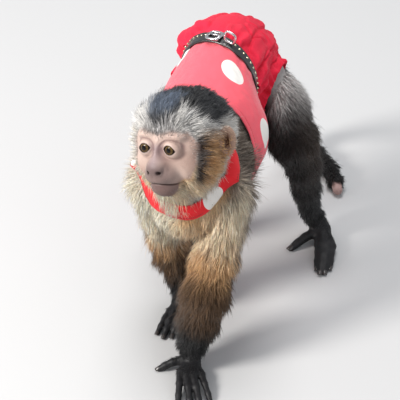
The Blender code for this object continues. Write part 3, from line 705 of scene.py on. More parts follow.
def head_look(points, noise):
    local = in_head(points)
    x, y, z = local.T
    bearing, height = head_angles(local)
    look = Look(len(points))
    wobble = 3.0 * noise(points, 5.0) + 1.5 * noise(points, 2.2)
    edges = HAIRLINE, CAP_EDGE, JAWLINE
    hairline, cap_edge, jaw = (np.interp(bearing, *np.transpose(edge)) for edge in edges)
    above, far = height - hairline, step(-6, -16, x)
    widen = 5 * step(-30, 0, height)
    bare = step(4, -4, above + wobble * 0.5) * step(57 + widen, 50 + widen, bearing + wobble * 0.8)
    bare = bare * step(-5, 5, height - jaw + wobble)
    fringe = np.maximum(step(-13, 0, above), step(42, 54, bearing))
    fringe = np.maximum(fringe, step(14, 2, height - jaw))
    cap = step(-3.5, 3.5, height - cap_edge + wobble)
    streak = noise(points * (1.0, 1.0, 0.3), 1.6)

    low = step(9, 0, above) * step(44, 22, bearing)
    peak = bump(bearing, 6, 15) * step(25, 38, height)
    forehead = layered(
        PALE_GREY,
        (WHITE, 0.25 + 0.5 * streak + 0.45 * step(22, 38, bearing)),
        (MID_GREY * 0.8, 0.9 * low + 0.25 * streak * (1 - low)),
        (BLUE_BLACK, np.clip(peak * (0.22 + 1.2 * streak), 0, 0.85)),
    )
    gold = layered(
        GOLD, (TAN, 0.5 + 0.5 * noise(points, 6.0)), (PALE_GREY, step(0, 26, height) * 0.5),
        (blend(CREAM, WHITE, 0.5 + 0.5 * streak), far * (0.55 + 0.45 * step(-30, -5, height))),
    )
    beard = blend(CREAM, TAN, 0.35 + 0.5 * noise(points, 7.0) + 0.3 * step(-10, 10, x))
    temple = far * bump(bearing, 40, 17) * step(20, 30, height)
    stripe = bump(bearing, 60 + widen + wobble * 0.4, 6.2) * step(22, 10, height) * step(-62, -46, height)
    stripe = np.clip((1.5 + 0.9 * step(-30, -5, height)) * stripe, 0, 1) * (1 - 0.75 * far)
    behind, throat = step(98, 112, bearing), step(-34, -48, height)
    sides = layered(
        forehead,
        (gold, step(60, 68, bearing) * step(28, 12, height)),
        (beard, step(-6, -22, height) * step(62, 50, bearing)),
        (WHITE, (0.3 + 0.9 * streak) * temple),
        (STRIPE_BROWN, stripe),
        (blend(FROST, WHITE, 0.7 + 0.5 * streak), behind * step(156, 124, bearing)),
        (BROWN, step(130, 156, bearing)),
        (blend(CREAM, TAN, 0.6 + 0.4 * noise(points, 8.0)), throat),
    )
    # Painted reflection: the sky's blue-grey sheen, laid on the front and top of the black cap.
    sheen = step(42, 58, height) * step(110, 40, bearing) * step(14, 2, x)
    crown = layered(
        BLACK, (BLUE_BLACK, 0.5 + 0.5 * noise(points, 3.0)), (PAINTED_SKY_SHEEN * 1.25, sheen * (0.85 + 0.35 * streak)),
    )
    hair, face = blend(sides, crown, cap), face_skin(local, noise)

    ear, out, along, up = ear_share(local)
    inner = bump(out, 0.4, 2.6) * bump(along, -1.5, 4.6) * bump(up, -1.5, 6.5)
    ear_tone = blend(colour(176, 144, 126), colour(88, 52, 34), inner * 1.5)
    look.skin = layered(hair * (0.7 - 0.35 * cap)[:, None], (face, bare), (ear_tone, ear))
    back_and_down = np.stack([0 * x, 0.55 + 0 * x, -0.35 * step(40, 70, bearing)], axis=1)
    look.flow = (unit(local - (0, -42.0, -4.0)) + back_and_down) @ HEAD_AXES.T
    full = np.maximum(step(50, 62, bearing), step(0, 12, above))
    below_chin = step(64, 40, bearing) * step(-46, -58, height)
    near_ear = bump(bearing, 90, 16) * bump(height, 2, 30) * (1 - cap)
    look.length = (5.0 + 8.0 * full) * (1 - 0.22 * cap * step(60, 80, height))
    for length, share in (
        (12.5, behind * (1 - cap)), (13.0 + 9.0 * below_chin, throat), (1.8 + 3.4 * fringe, bare),
        (6.0, 0.75 * near_ear), (3.6, ear),
    ):
        look.length = blend_number(look.length, length, share)
    ruff = bump(bearing, 60, 14) * step(40, 20, height)
    look.lift = 0.50 - 0.14 * cap + 0.15 * throat - 0.12 * below_chin + 0.42 * ruff
    ring, _, _, front = eye_rings(local)
    muzzle = step(1.25, 0.9, np.hypot(x / 15, (z + 23) / 16)) * step(-20, -28, y)
    look.density = 1.25 + 1.2 * below_chin - 0.80 * bare * (1 - 0.8 * fringe)
    look.density -= 0.9 * ear * step(3.0, -4.0, -along)
    look.density *= (1 - front * step(9.5, 7.5, ring)) * (1 - 0.8 * muzzle)
    fuzz = layered(
        face, (WHITE, 0.30), (forehead, 0.75 * fringe * step(54, 34, bearing)), (STRIPE_BROWN, stripe * 0.9),
    )
    look.tip = blend(hair, fuzz, bare)
    look.root = blend(hair * (0.74 - 0.22 * cap + 0.26 * throat)[:, None], face, bare)
    look.width = 0.65 - 0.34 * bare * (1 - 0.4 * fringe)
    return look


def trunk_look(points, noise):
    angle, back = TRUNK.place(points)
    look = Look(len(points))
    x, top = points[:, 0], np.sin(angle)
    speckle = 0.7 * noise(points, 1.5) + 0.5 * noise(points, 4.0)
    round_neck = (points - NECKLINE_CENTRE) @ NECKLINE_AXES
    turn, rise = np.arctan2(round_neck[:, 1], round_neck[:, 0]), round_neck[:, 2]
    nape_side, under = np.sin(turn), step(0.35, -0.5, top)

    breast = layered(
        CREAM, (TAN, 0.10 + 0.4 * noise(points, 9.0) + 0.85 * step(-16, 14, x)),
        (GOLD, 0.15 * step(118, 96, points[:, 2]) * step(-22, 10, x)),
    )
    shoulder = blend(BROWN, FROST, 0.42 + 0.6 * speckle)
    nape = blend(DARK_BROWN, FROST, 0.30 + 0.5 * speckle + 0.15 * step(8, 24, np.abs(x)))
    belly = blend(BROWN, DARK_BROWN, 0.5 + 0.5 * noise(points, 7.0))
    front = np.maximum(step(0.45, -0.25, nape_side), under)
    front = front * step(128, 104, back) * step(40, 28, x - 4 * speckle)
    front = np.maximum(front, 0.85 * step(-14, -30, x) * step(124, 108, back) * step(0.9, 0.4, nape_side))
    above_band = step(0, 8, rise) * step(1.5, 1.0, np.abs(turn - 0.1))
    coat = layered(
        shoulder,
        (nape, step(0.3, 0.9, nape_side) * step(125, 105, back)),
        (breast, front),
        (belly, step(112, 135, back) * under),
        (blend(FROST, WHITE, 0.4 + 0.6 * speckle), above_band),
    )
    look.tip, look.skin = coat, coat * (0.6 + 0.3 * front)[:, None]
    look.root = coat * (0.72 + 0.28 * front)[:, None]

    down = np.stack([0.30 * np.sign(x) * np.abs(np.cos(angle)), -0.25 + 0 * x, -1 + 0 * x], axis=1)
    over = np.stack([0.2 * np.sign(x), 1.0 + 0 * x, -0.35 + 0 * x], axis=1)
    ahead = np.maximum(step(118, 92, back), 0.4 * under)
    look.flow = blend(over, down, ahead * (1 - 0.8 * step(0.2, 0.8, nape_side) * step(110, 125, back)))
    shoulder_tuft = step(16, 30, np.abs(x)) * bump(back, 112, 20) * step(-0.75, 0.0, top)
    over_band = bump(turn, -1.78, 0.66) * bump(rise, 12.0, 8.0)
    at_band = np.exp(-((rise / 13.0) ** 4)) * step(0.75, 0.2, nape_side)
    at_band *= step(62, 54, np.hypot(*round_neck[:, :2].T)) * (1 - over_band)
    look.length = 15.0 - 4.0 * step(120, 150, back)
    for length, share in (
        (20.0, shoulder_tuft), (7.5, step(0.2, 0.7, top) * step(94, 104, back)),
        (6.5, at_band), (25.0, over_band),
    ):
        look.length = blend_number(look.length, length, share)
    look.lift = 0.58 + 0.05 * over_band + 0.15 * shoulder_tuft - 0.28 * at_band
    look.density = 1.0 + 2.0 * over_band
    look.width = 0.66 + 0 * back
    return look


def limb_look(points, noise, limb, place, axis, out):
    """The coat of an arm or a leg, from the trunk to the tips of its digits."""
    look = Look(len(points))
    speckle = noise(points, 1.4) * 0.6 + noise(points, 4.0) * 0.4
    left = limb.name.endswith("left")
    outward = out[:, 0] * (1 if left else -1)
    if limb.name.startswith("arm"):
        front, worn = step(0.75, -0.10, out[:, 1] + 0.55 * outward), place + 0.3 * speckle
        golden = blend(TAN, GOLD, 0.55 + 0.6 * speckle - 0.5 * step(1.8, 1.0, place))
        coat = layered(
            BROWN, (MID_GREY, 0.3), (FROST, 0.30 + 0.6 * speckle), (FROST, 0.25),
            (blend(CREAM, TAN, -0.10 + 0.4 * speckle + 0.25 * place + 0.25 * left), front),
            (layered(BROWN, (FROST, 0.1 + 0.5 * speckle), (golden, front)), step(1.6, 2.5, worn)),
            (layered(DARK_BROWN, (BROWN, 0.45 + 0.5 * speckle), (GOLD, 0.12 * front)), step(2.1, 3.1, worn)),
            (BLACK, step(3.7, 4.7, place + 0.2 * speckle)),
        )
        lengths, lift = (17.5, 16.5, 15.0, 14.5, 12.5, 8.0, 4.5), 0.58
        bright = front * step(3.0, 1.8, place)
    else:
        top = step(-0.2, 0.6, out[:, 2] * 0.8 + outward * 0.35)
        frost = blend(PALE_GREY, colour(250, 244, 238), 0.6 + 0.6 * speckle)
        tinge = blend(DARK_BROWN, BROWN, 0.4 + 0.6 * speckle)
        coat = layered(
            DARK_BROWN, (BLACK, 0.45 + 0.5 * speckle),
            (frost, top * step(1.9, 0.8, place + 0.5 * speckle)),
            (tinge, step(0.1, 0.8, outward) * bump(place, 2.4, 1.0) * 0.7),
            (BLACK, step(3.3, 4.6, place)),
        )
        lengths, lift = (14.0, 14.5, 14.0, 11.5, 9.5, 7.0, 4.0), 0.54
        bright = 0 * place
    look.tip, look.root = coat, coat * (0.68 + 0.30 * bright)[:, None]
    bare = step(5.0, 5.7, place)
    look.skin = blend(coat * 0.55, SKIN_BLACK * (1 + 0.25 * speckle)[:, None], bare)
    look.flow = blend(axis, (0.0, -1.0, -0.1), bare) + 0.18 * out
    reach = np.linalg.norm(points - limb.points[-1], axis=1)
    look.length = np.interp(place, np.arange(len(lengths)), lengths) * (1 - 0.6 * bare * step(14, 34, reach))
    look.lift = lift - 0.15 * bare
    look.density = (1.0 - 0.1 * bare) * (1 - 0.85 * bare * step(26, 42, reach))
    look.density *= 1 - bare * step(0.1, -0.5, out[:, 2])
    look.width = 0.66 - 0.25 * bare
    return look


def tail_look(points, noise, limb, place, axis, out):
    look = Look(len(points))
    coat = blend(BLACK, DARK_BROWN, 0.25 + 0.4 * noise(points, 2.0) + step(2.5, 0.5, place) * 0.5)
    look.tip, look.root = coat, coat * 0.6
    bare = step(9.3, 9.7, place)
    look.skin = blend(coat * 0.5, colour(168, 138, 132), bare)
    look.flow = axis + 0.1 * out
    look.length = np.interp(place, (0, 8, 9, 9.5), (12.5, 10.5, 8.0, 4.0))
    look.lift, look.width = 0.50 + 0 * place, 0.68 + 0 * place
    look.density = 1.0 - 0.98 * bare
    return look


def look_at(points, noise):
    """The look of each point, blended where parts meet, and the part that it belongs to most."""
    skull = (in_head(points) + (0, 0, 2)) / (36.0, 38.0, 36.0)
    neck_gap = bar_distance(*points.T, *NECK, *skin_radii(NECK_RADII, NECK_COAT))
    trunk_gap = TRUNK.distance(*points.T, trunk_coat(TRUNK.back_of(points[:, 0], points[:, 1])))
    gaps = [np.linalg.norm(skull, axis=1) * 34 - 34, np.minimum(trunk_gap, neck_gap)]
    looks = [head_look(points, noise), trunk_look(points, noise)]
    for limb in limbs():
        place, gap, axis, out = limb.read(points)
        is_tail = limb.name == "tail"
        gaps.append(gap + (0 if is_tail else 12 * step(0.25, 0.0, place)))
        looks.append((tail_look if is_tail else limb_look)(points, noise, limb, place, axis, out))
    gaps = np.array(gaps)
    weights = np.exp(-(gaps - gaps.min(axis=0)) / 2.5)
    weights /= weights.sum(axis=0)
    total = Look(len(points))
    for look, weight in zip(looks, weights):
        total.add(look, weight)
    total.part = weights.argmax(axis=0)
    return total


# ------------------------------------------------------------------ an unwrap of the skin's own shape
CHARTS = {  # part: corner and size of its patch of the map
    "head": ((0.0, 0.5), (0.62, 0.5)), "trunk": ((0.64, 0.5), (0.36, 0.5)),
    "arm_left": ((0.0, 0.0), (0.19, 0.48)), "arm_right": ((0.2, 0.0), (0.19, 0.48)),
    "leg_left": ((0.4, 0.0), (0.19, 0.48)), "leg_right": ((0.6, 0.0), (0.19, 0.48)),
    "tail": ((0.8, 0.0), (0.2, 0.48)),
}
CHART_MARGIN = 0.03


def unwrapped(points, part):
    """Two coordinates from 0 to 1: a turn round the part, which wraps, and a length along it."""
    turn, along = np.zeros((2, len(points)))
    chain = {limb.name: limb for limb in limbs()}
    for index, name in enumerate(PARTS):
        mine = part == index
        spots = points[mine]
        if name == "head":
            x, y, z = in_head(spots).T
            angle, share = np.arctan2(x, -y), np.arctan2(z, np.hypot(x, y)) / np.pi + 0.5
        elif name == "trunk":
            angle, back = TRUNK.place(spots)
            share = (back - 55) / 255
        else:
            place, _, axis, out = chain[name].read(spots)
            side = unit(np.cross(axis, (0.0, 1.0, 0.05)))
            angle = np.arctan2((out * np.cross(axis, side)).sum(1), (out * side).sum(1))
            share = (place + 0.1) / (len(chain[name].points) - 0.6)
        turn[mine], along[mine] = angle / (2 * np.pi) + 0.5, share
    return turn, along


def on_chart(turn, along, part):
    corners = np.array([CHARTS[name][0] for name in PARTS])[part]
    sizes = np.array([CHARTS[name][1] for name in PARTS])[part]
    inner = CHART_MARGIN + (1 - 2 * CHART_MARGIN) * np.stack([turn, np.clip(along, 0, 1)], axis=-1)
    return corners + sizes * inner


# ------------------------------------------------------------------ mesh making
def add_object(name, data):
    obj = bpy.data.objects.new(name, data)
    bpy.context.scene.collection.objects.link(obj)
    return obj


def mesh_object(name, points, faces, totals=None):
    """An object from plan points and faces: rows of corners, or one run of them with each face's total."""
    faces = np.asarray(faces, np.int32)
    if totals is None:
        totals = np.full(len(faces), faces.shape[1])
    mesh = bpy.data.meshes.new(name)
    mesh.vertices.add(len(points))
    mesh.vertices.foreach_set("co", world(points).astype(np.float32).ravel())
    mesh.loops.add(faces.size)
    mesh.loops.foreach_set("vertex_index", faces.ravel())
    mesh.polygons.add(len(totals))
    starts = np.concatenate([[0], np.cumsum(totals)[:-1]])
    mesh.polygons.foreach_set("loop_start", starts.astype(np.int32))
    mesh.polygons.foreach_set("loop_total", np.asarray(totals, np.int32))
    mesh.update(calc_edges=True)
    mesh.validate()
    mesh.shade_smooth()
    return add_object(name, mesh)


def joined(pieces):
    """One run of points and faces from several, each a pair of points and faces."""
    points, faces, count = [], [], 0
    for some_points, some_faces in pieces:
        points.append(some_points)
        faces.append(np.asarray(some_faces) + count)
        count += len(some_points)
    return np.concatenate(points), np.concatenate(faces)


def dress(obj, material, slot, *nodes):
    """Gives a piece its material, hangs it under the root, and hides the CAD nodes that it stands for; the
    slot is not used.
    """
    obj.data.materials.append(material)
    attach(obj, "root")
    if nodes:
        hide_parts(*nodes)


def paint(obj, colours):
    layer = obj.data.color_attributes.new("Col", "FLOAT_COLOR", "POINT")
    rgba = np.concatenate([np.clip(colours, 0, 1), np.ones((len(colours), 1))], axis=1)
    layer.data.foreach_set("color", rgba.astype(np.float32).ravel())


def write_map(obj, name, uv):
    obj.data.uv_layers.new(name=name).data.foreach_set("uv", uv.astype(np.float32).ravel())


def unwrap_skin(obj, points, quads, part):
    """Writes the map of the skin, each face on the chart of its first corner's part."""
    corner_part = np.repeat(part[quads[:, 0]], 4)
    turn, along = unwrapped(points[quads.ravel()], corner_part)
    turn = turn.reshape(-1, 4)
    turn -= np.round(turn - turn[:, :1])
    write_map(obj, "OFBake", on_chart(turn.ravel(), along, corner_part))


def normals_of(points, quads):
    a, b, c, d = (points[quads[:, k]] for k in range(4))
    face = np.cross(c - a, d - b)
    total = np.zeros_like(points)
    for k in range(4):
        for n in range(3):
            total[:, n] += np.bincount(quads[:, k], face[:, n], len(points))
    return unit(total)


# ------------------------------------------------------------------ materials
class Material:
    """A Principled material built node by node."""

    def __init__(self, name, roughness=0.6, **settings):
        self.made = bpy.data.materials.new(name)
        self.made.use_nodes = True
        self.tree = self.made.node_tree
        self.shader = self.tree.nodes["Principled BSDF"]
        self.shader.inputs["Roughness"].default_value = roughness
        for key, value in settings.items():
            self.shader.inputs[key.replace("_", " ")].default_value = value

    def node(self, kind, **settings):
        made = self.tree.nodes.new("ShaderNode" + kind)
        for key, value in settings.items():
            if key in made.inputs:
                made.inputs[key].default_value = value
            else:
                setattr(made, key, value)
        return made

    def feed(self, socket, value):
        """Sets a socket to a number or a colour, or links it to another node's output."""
        if isinstance(value, (int, float)):
            socket.default_value = value
        elif isinstance(value, (tuple, np.ndarray)):
            socket.default_value = (*value[:3], 1.0)
        else:
            self.tree.links.new(value, socket)

    def attribute(self):
        return self.node("VertexColor", layer_name="Col").outputs["Color"]

    def noise(self, scale, detail=3.0, vector=None):
        made = self.node("TexNoise", Scale=scale, Detail=detail, Roughness=0.55)
        self.feed(made.inputs["Vector"], vector or self.node("TexCoord").outputs["Object"])
        return made.outputs["Fac"]

    def math(self, operation, a, b=0.0):
        made = self.node("Math", operation=operation)
        for socket, value in zip(made.inputs, (a, b)):
            self.feed(socket, value)
        return made.outputs["Value"]

    def mix(self, share, a, b):
        made = self.node("Mix", data_type="RGBA")
        for key, value in ((0, share), (6, a), (7, b)):
            self.feed(made.inputs[key], value)
        return made.outputs[2]

    def relief(self, height, distance, strength=1.0):
        made = self.node("Bump", Strength=strength, Distance=distance)
        self.feed(made.inputs["Height"], height)
        self.feed(self.shader.inputs["Normal"], made.outputs["Normal"])

    def colour(self, value):
        self.feed(self.shader.inputs["Base Color"], value)

    def roughness(self, low, high, share):
        made = self.node("MapRange")
        made.inputs["To Min"].default_value = low
        made.inputs["To Max"].default_value = high
        self.feed(made.inputs["Value"], share)
        self.feed(self.shader.inputs["Roughness"], made.outputs["Result"])


def skin_material():
    made = Material("skin", IOR=1.4)
    blotches = made.noise(420.0, 4.0)
    base = made.attribute()
    darker = made.node("HueSaturation", Saturation=1.15, Value=0.72)
    made.feed(darker.inputs["Color"], base)
    made.colour(made.mix(made.math("MULTIPLY", blotches, 0.5), base, darker.outputs["Color"]))
    made.roughness(0.42, 0.62, blotches)
    made.relief(made.math("ADD", made.noise(1500.0), made.noise(500.0, 2.0)), 0.00022, 0.5)
    return made.made


def coat_material():
    made = Material("coat", roughness=0.58, Sheen_Weight=0.15, Sheen_Roughness=0.4)
    base = made.attribute()
    made.colour(made.mix(made.math("MULTIPLY", made.noise(1800.0, 2.0), 0.25), base, (0.0, 0.0, 0.0)))
    return made.made


# ------------------------------------------------------------------ the skin
def cover(points):
    """How fully clothes cover each point, so that no fur grows under them."""
    angle, back = TRUNK.place(points)
    shirt = step(0.0, 4.0, back - shirt_front(angle)) * step(BELT_BACK + 12, BELT_BACK + 6, back)
    shirt *= step(3.5, 1.5, TRUNK.distance(*points.T))
    seat = step(5.0, 1.0, bloomers_distance(*points.T)) * step(BELT_BACK - 3, BELT_BACK + 2, back)
    for plane_point, normal in LEG_OPENINGS:
        seat *= step(5.0, 1.0, (points - plane_point) @ normal)
    return np.maximum(shirt, seat)


MOST_IN_SKIN = 192000      # triangles
ANIMAL_NODES = (
    "head", "neck", "trunk", "ear_left", "ear_right", "upper_arm_left", "forearm_left", "hand_left",
    "upper_arm_right", "forearm_right", "hand_right", "thigh_left", "shank_left", "foot_left",
    "thigh_right", "shank_right", "foot_right", "tail_base", "tail_middle", "tail_end",
)


def thin_out(obj, points):
    """Merges faces under the fur, and leaves the bare face and the digits as they are."""
    local = in_head(points)
    face = (local[:, 1] < -8) & (np.abs(local[:, 0]) < 34) & (np.abs(local[:, 2]) < 44)
    furred = np.flatnonzero(~face & (points[:, 2] > 16))
    obj.vertex_groups.new(name="furred").add(furred.tolist(), 1.0, "REPLACE")
    modifier = obj.modifiers.new("thinned", "DECIMATE")
    modifier.ratio = MOST_IN_SKIN / (2 * len(obj.data.polygons))
    modifier.vertex_group = "furred"


def make_skin(noise):
    points, quads = skin_field().surface()
    points = relaxed(points, quads, 2, 0.45)
    look = look_at(points, noise)
    obj = mesh_object("skin", points, quads)
    paint(obj, look.skin)
    unwrap_skin(obj, points, quads, look.part)
    thin_out(obj, points)
    dress(obj, skin_material(), "skin", *ANIMAL_NODES)
    return points, quads, look


# ------------------------------------------------------------------ the coat
TUFTS = 95000                           # in the whole coat
SHORT_HAIR = 7.5                        # hair below this length gets two rings instead of three
LONG_RINGS, SHORT_RINGS = (0.0, 0.35, 0.7, 1.0), (0.0, 0.5, 1.0)
MOST_LONG, MOST_SHORT = 12000, 18000    # tufts in a piece
TUFT_PATCH = 0.003                      # a tuft's side on the map
GUARD_SHARE, GUARD_LENGTH, GUARD_WIDTH = 0.06, 1.3, 0.7
FROSTED_SHARE, FROSTED_GAIN, FROSTED_FROM = 0.10, 1.5, 0.05


def scatter(points, quads, look, count, rng):
    """Roots on the skin, with what the skin's corners say blended at each."""
    tris = np.concatenate([quads[:, [0, 1, 2]], quads[:, [0, 2, 3]]])
    a, b, c = (points[tris[:, k]] for k in range(3))
    area = np.linalg.norm(np.cross(b - a, c - a), axis=1) / 2
    wanted = area * (look.density * look.open)[tris].mean(axis=1)
    chosen = rng.choice(len(tris), count, p=wanted / wanted.sum())
    one, two = rng.random(count), rng.random(count)
    over = one + two > 1
    one, two = np.where(over, 1 - one, one), np.where(over, 1 - two, two)
    shares = np.stack([1 - one - two, one, two], axis=1)
    corners = tris[chosen]

    def read(values):
        picked = values[corners]
        return (picked * (shares[..., None] if picked.ndim == 3 else shares)).sum(axis=1)

    return read, corners[:, 0]


def tuft_paths(root, normal, flow, length, lift, rings, noise, rng):
    """Points along each tuft's middle: it leaves the skin at its lift and bends over towards the flow."""
    flow = unit(flow - (flow * normal).sum(1)[:, None] * normal)
    side = np.cross(normal, flow)
    clump = np.stack([noise(root, 6.5), noise(root + 57.0, 6.5), noise(root + 113.0, 3.2)], axis=1)
    turn = 0.50 * clump[:, 0] + 0.25 * clump[:, 2] + rng.normal(0, 0.16, len(root))
    heading = circle(flow, side, turn)
    rise = np.clip(lift + 0.16 * clump[:, 1] + rng.normal(0, 0.10, len(root)), 0.12, 1.2)
    paths = [root - 0.7 * normal]
    for before, after in zip(rings[:-1], rings[1:]):
        middle = (before + after) / 2
        direction = circle(heading, normal, rise * (1.25 - 0.75 * middle))
        bend = side * (0.18 * clump[:, 2] * middle)[:, None]
        paths.append(paths[-1] + unit(direction + bend) * (length * (after - before))[:, None])
    return np.stack(paths, axis=1)


def tuft_mesh(name, paths, width, root_colour, tip_colour, uv, shares):
    """Three-sided closed tufts along the paths, each thinner towards its tip."""
    count, levels = paths.shape[:2]
    rings = levels - 1
    one, two = crosswise(unit(paths[:, -1] - paths[:, 0]), (0.31, 0.22, 0.92))
    ring = circle(one[:, None], two[:, None], turns_of(3)[None])
    taper = (1 - 0.72 * np.array(shares[:-1])) / 2
    corners = paths[:, :-1, None] + ring[:, None] * (width[:, None] * taper)[:, :, None, None]
    points = np.concatenate([corners.reshape(count, rings * 3, 3), paths[:, -1:]], axis=1)
    each, last = rings * 3 + 1, 3 * (rings - 1)
    sides = wrap_grid(rings, 3)
    ends = [(last + i, last + (i + 1) % 3, last + 3) for i in range(3)] + [(0, 2, 1)]
    pattern = np.concatenate([sides.ravel(), np.ravel(ends)])
    faces = (pattern[None] + each * np.arange(count)[:, None]).ravel()
    obj = mesh_object(name, points.reshape(-1, 3), faces, np.tile([4] * len(sides) + [3] * len(ends), count))

    level = np.append(np.repeat(shares[:-1], 3), 1.0)
    share = level[None, :, None] ** 0.8
    paint(obj, (root_colour[:, None] * (1 - share) + tip_colour[:, None] * share).reshape(-1, 3))
    across = np.append(np.tile([-0.5, 0.5, 0.0], rings), 0.0)
    patch = TUFT_PATCH * np.stack([across, level - 0.5], axis=1)
    write_map(obj, "OFBake", (uv[:, None] + patch[None]).reshape(-1, 2)[faces])
    return obj


def make_coat(points, quads, look, noise):
    """The coat, in pieces by part of the body, of short tufts first and then of long ones."""
    rng = np.random.default_rng(SEED)
    look.open = 1 - cover(points)
    read, corner = scatter(points, quads, look, TUFTS, rng)
    root, normal = read(points), unit(read(normals_of(points, quads)))
    flow, length, lift = read(look.flow), read(look.length), read(look.lift)
    part = look.part[corner]
    shown = look_at(root + (0.55 * length)[:, None] * unit(flow), noise)
    length = length * rng.uniform(0.70, 1.20, len(root)) * (0.4 + 0.6 * read(look.open))
    guard = rng.random(len(root)) < GUARD_SHARE
    length = np.where(guard, length * GUARD_LENGTH, length)
    width = read(look.width) * rng.uniform(0.75, 1.25, len(root)) * np.where(guard, GUARD_WIDTH, 1.0)
    tone = (1 + 0.20 * rng.normal(0, 1, len(root)).clip(-2, 2))[:, None]
    root_colour, tip_colour = 0.5 * (read(look.root) + shown.root) * tone, shown.tip * tone
    frosted = (rng.random(len(root)) < FROSTED_SHARE)[:, None]
    frosted = frosted & (tip_colour.mean(axis=1, keepdims=True) > FROSTED_FROM)
    tip_colour = np.where(frosted, tip_colour * FROSTED_GAIN, tip_colour)
    uv = on_chart(*unwrapped(root, part), part)
    material = coat_material()
    for index, name in enumerate(PARTS):
        batches = []
        for kind, shares, most in (
            (length < SHORT_HAIR, SHORT_RINGS, MOST_SHORT), (length >= SHORT_HAIR, LONG_RINGS, MOST_LONG),
        ):
            chosen = np.flatnonzero((part == index) & kind)
            batches += [(chosen[start : start + most], shares) for start in range(0, len(chosen), most)]
        for number, (some, shares) in enumerate(batches, 1):
            stance = (value[some] for value in (root, normal, flow, length, lift))
            paths = tuft_paths(*stance, shares, noise, rng)
            paths[..., 2] = np.maximum(paths[..., 2], 0.4)
            finish = (value[some] for value in (width, root_colour, tip_colour, uv))
            dress(tuft_mesh(f"coat_{name}_{number}", paths, *finish, shares), material, "fur")


# ------------------------------------------------------------------ eyes and nails
IRIS_ANGLE, PUPIL_ANGLE = math.radians(31), math.radians(14)
GAZE = np.array([0.0, -1.0, 0.02])


def make_eye(side, node):
    """An eyeball with its pole on the gaze: pupil, streaked iris with a dark rim, and brownish white."""
    turns, falls = 96, 56
    fall = np.linspace(0, math.pi, falls + 1)[1:-1]
    fall = math.pi * (fall / math.pi) ** 1.35
    turn, rows = turns_of(turns), len(fall)
    pole = unit(GAZE)
    one = unit(np.cross(pole, (0, 0, 1)))
    radius = EYE_RADIUS + 0.35 * step(IRIS_ANGLE * 1.15, IRIS_ANGLE * 0.5, fall)
    ring = circle(pole, circle(one, np.cross(one, pole), turn), fall[:, None]) * radius[:, None, None]
    points = np.concatenate([ring.reshape(-1, 3), [pole * radius[0], -pole * EYE_RADIUS]])
    points = from_head(points + EYE_CENTRE * (side, 1, 1))
    index = np.arange(rows * turns).reshape(rows, turns)
    following, ends = np.roll(index, -1, axis=1), np.full(turns, rows * turns)
    quads = wrap_grid(rows, turns)[:, ::-1]
    caps = np.transpose([
        [*following[0], *index[-1]], [*index[0], *following[-1]], [*ends, *(ends + 1)],
    ])
    totals = np.concatenate([np.full(len(quads), 4), np.full(len(caps), 3)])
    obj = mesh_object(node + "_ball", points, np.concatenate([quads.ravel(), caps.ravel()]), totals)

    angles = np.concatenate([np.repeat(fall, turns), [0, math.pi]])
    spokes = np.concatenate([np.tile(turn, rows), [0, 0]])
    streaks = 0.5 + 0.25 * np.sin(spokes * 23 + 3 * np.sin(spokes * 5)) + 0.25 * np.sin(spokes * 41)
    iris = blend(colour(58, 42, 22), colour(110, 90, 52), streaks)
    iris = blend(iris, colour(54, 36, 20), step(PUPIL_ANGLE * 1.7, PUPIL_ANGLE, angles))
    paint(obj, layered(
        colour(6, 5, 5), (iris, step(PUPIL_ANGLE * 0.95, PUPIL_ANGLE * 1.08, angles)),
        (colour(22, 13, 10), step(IRIS_ANGLE * 0.80, IRIS_ANGLE * 0.97, angles)),
        (colour(96, 68, 54), step(IRIS_ANGLE * 1.15, IRIS_ANGLE * 1.5, angles)),
    ))
    material = Material(node, roughness=0.25, Specular_IOR_Level=0.1, Coat_Weight=0.2, Coat_Roughness=0.03)
    material.colour(material.attribute())
    dress(obj, material.made, "eye", node)


def nail(knuckle, tip, radius):
    """A slightly domed nail on a digit's end."""
    rows, columns = 5, 7
    joints, radii = digit_points(knuckle, tip, radius)
    ahead = unit(joints[-1] - joints[-2])
    across, down = crosswise(ahead, (0, 0, 1.0))
    u, v = np.meshgrid(np.linspace(-1, 1, columns), np.linspace(-0.5, 1.15, rows))
    reach = v * 1.15 * (1 - 0.16 * u * u * (v > 0))
    lift = np.sqrt(np.clip(1 - (u * 0.86) ** 2, 0, 1)) * (1.0 - 0.10 * np.clip(v, 0, 2))
    grid = u[..., None] * 0.86 * across + reach[..., None] * ahead - 1.10 * lift[..., None] * down
    grid = joints[-1] + radii[-1] * 0.92 * grid
    index = np.arange(rows * columns).reshape(rows, columns)
    points = np.concatenate([grid.reshape(-1, 3), (grid + 0.45 * down).reshape(-1, 3)])
    return points, grid_shell(index, index + rows * columns)


def make_nails():
    """A dark nail on every finger and toe, joined into one piece."""
    digits = (*LEFT_HAND, *RIGHT_HAND, *LEFT_FOOT, *RIGHT_FOOT)
    obj = mesh_object("nails", *joined(nail(*digit) for digit in digits))
    made = Material("nail", roughness=0.32, Coat_Weight=0.3)
    made.colour(made.mix(made.noise(900.0), (0.012, 0.010, 0.010), (0.05, 0.04, 0.036)))
    made.relief(made.noise(2600.0, 2.0), 0.00008)
    dress(obj, made.made, "skin")


def grid_shell(upper, lower):
    """The faces of a closed sheet between two grids of point numbers."""
    def cells(grid):
        return np.stack([grid[:-1, :-1], grid[:-1, 1:], grid[1:, 1:], grid[1:, :-1]], axis=-1).reshape(-1, 4)

    rim, base = (
        np.concatenate([grid[0], grid[1:, -1], grid[-1, -2::-1], grid[-2:0:-1, 0]]) for grid in (upper, lower)
    )
    sides = np.stack([base, np.roll(base, -1), np.roll(rim, -1), rim], axis=-1)
    return np.concatenate([cells(upper), cells(lower)[:, ::-1], sides])


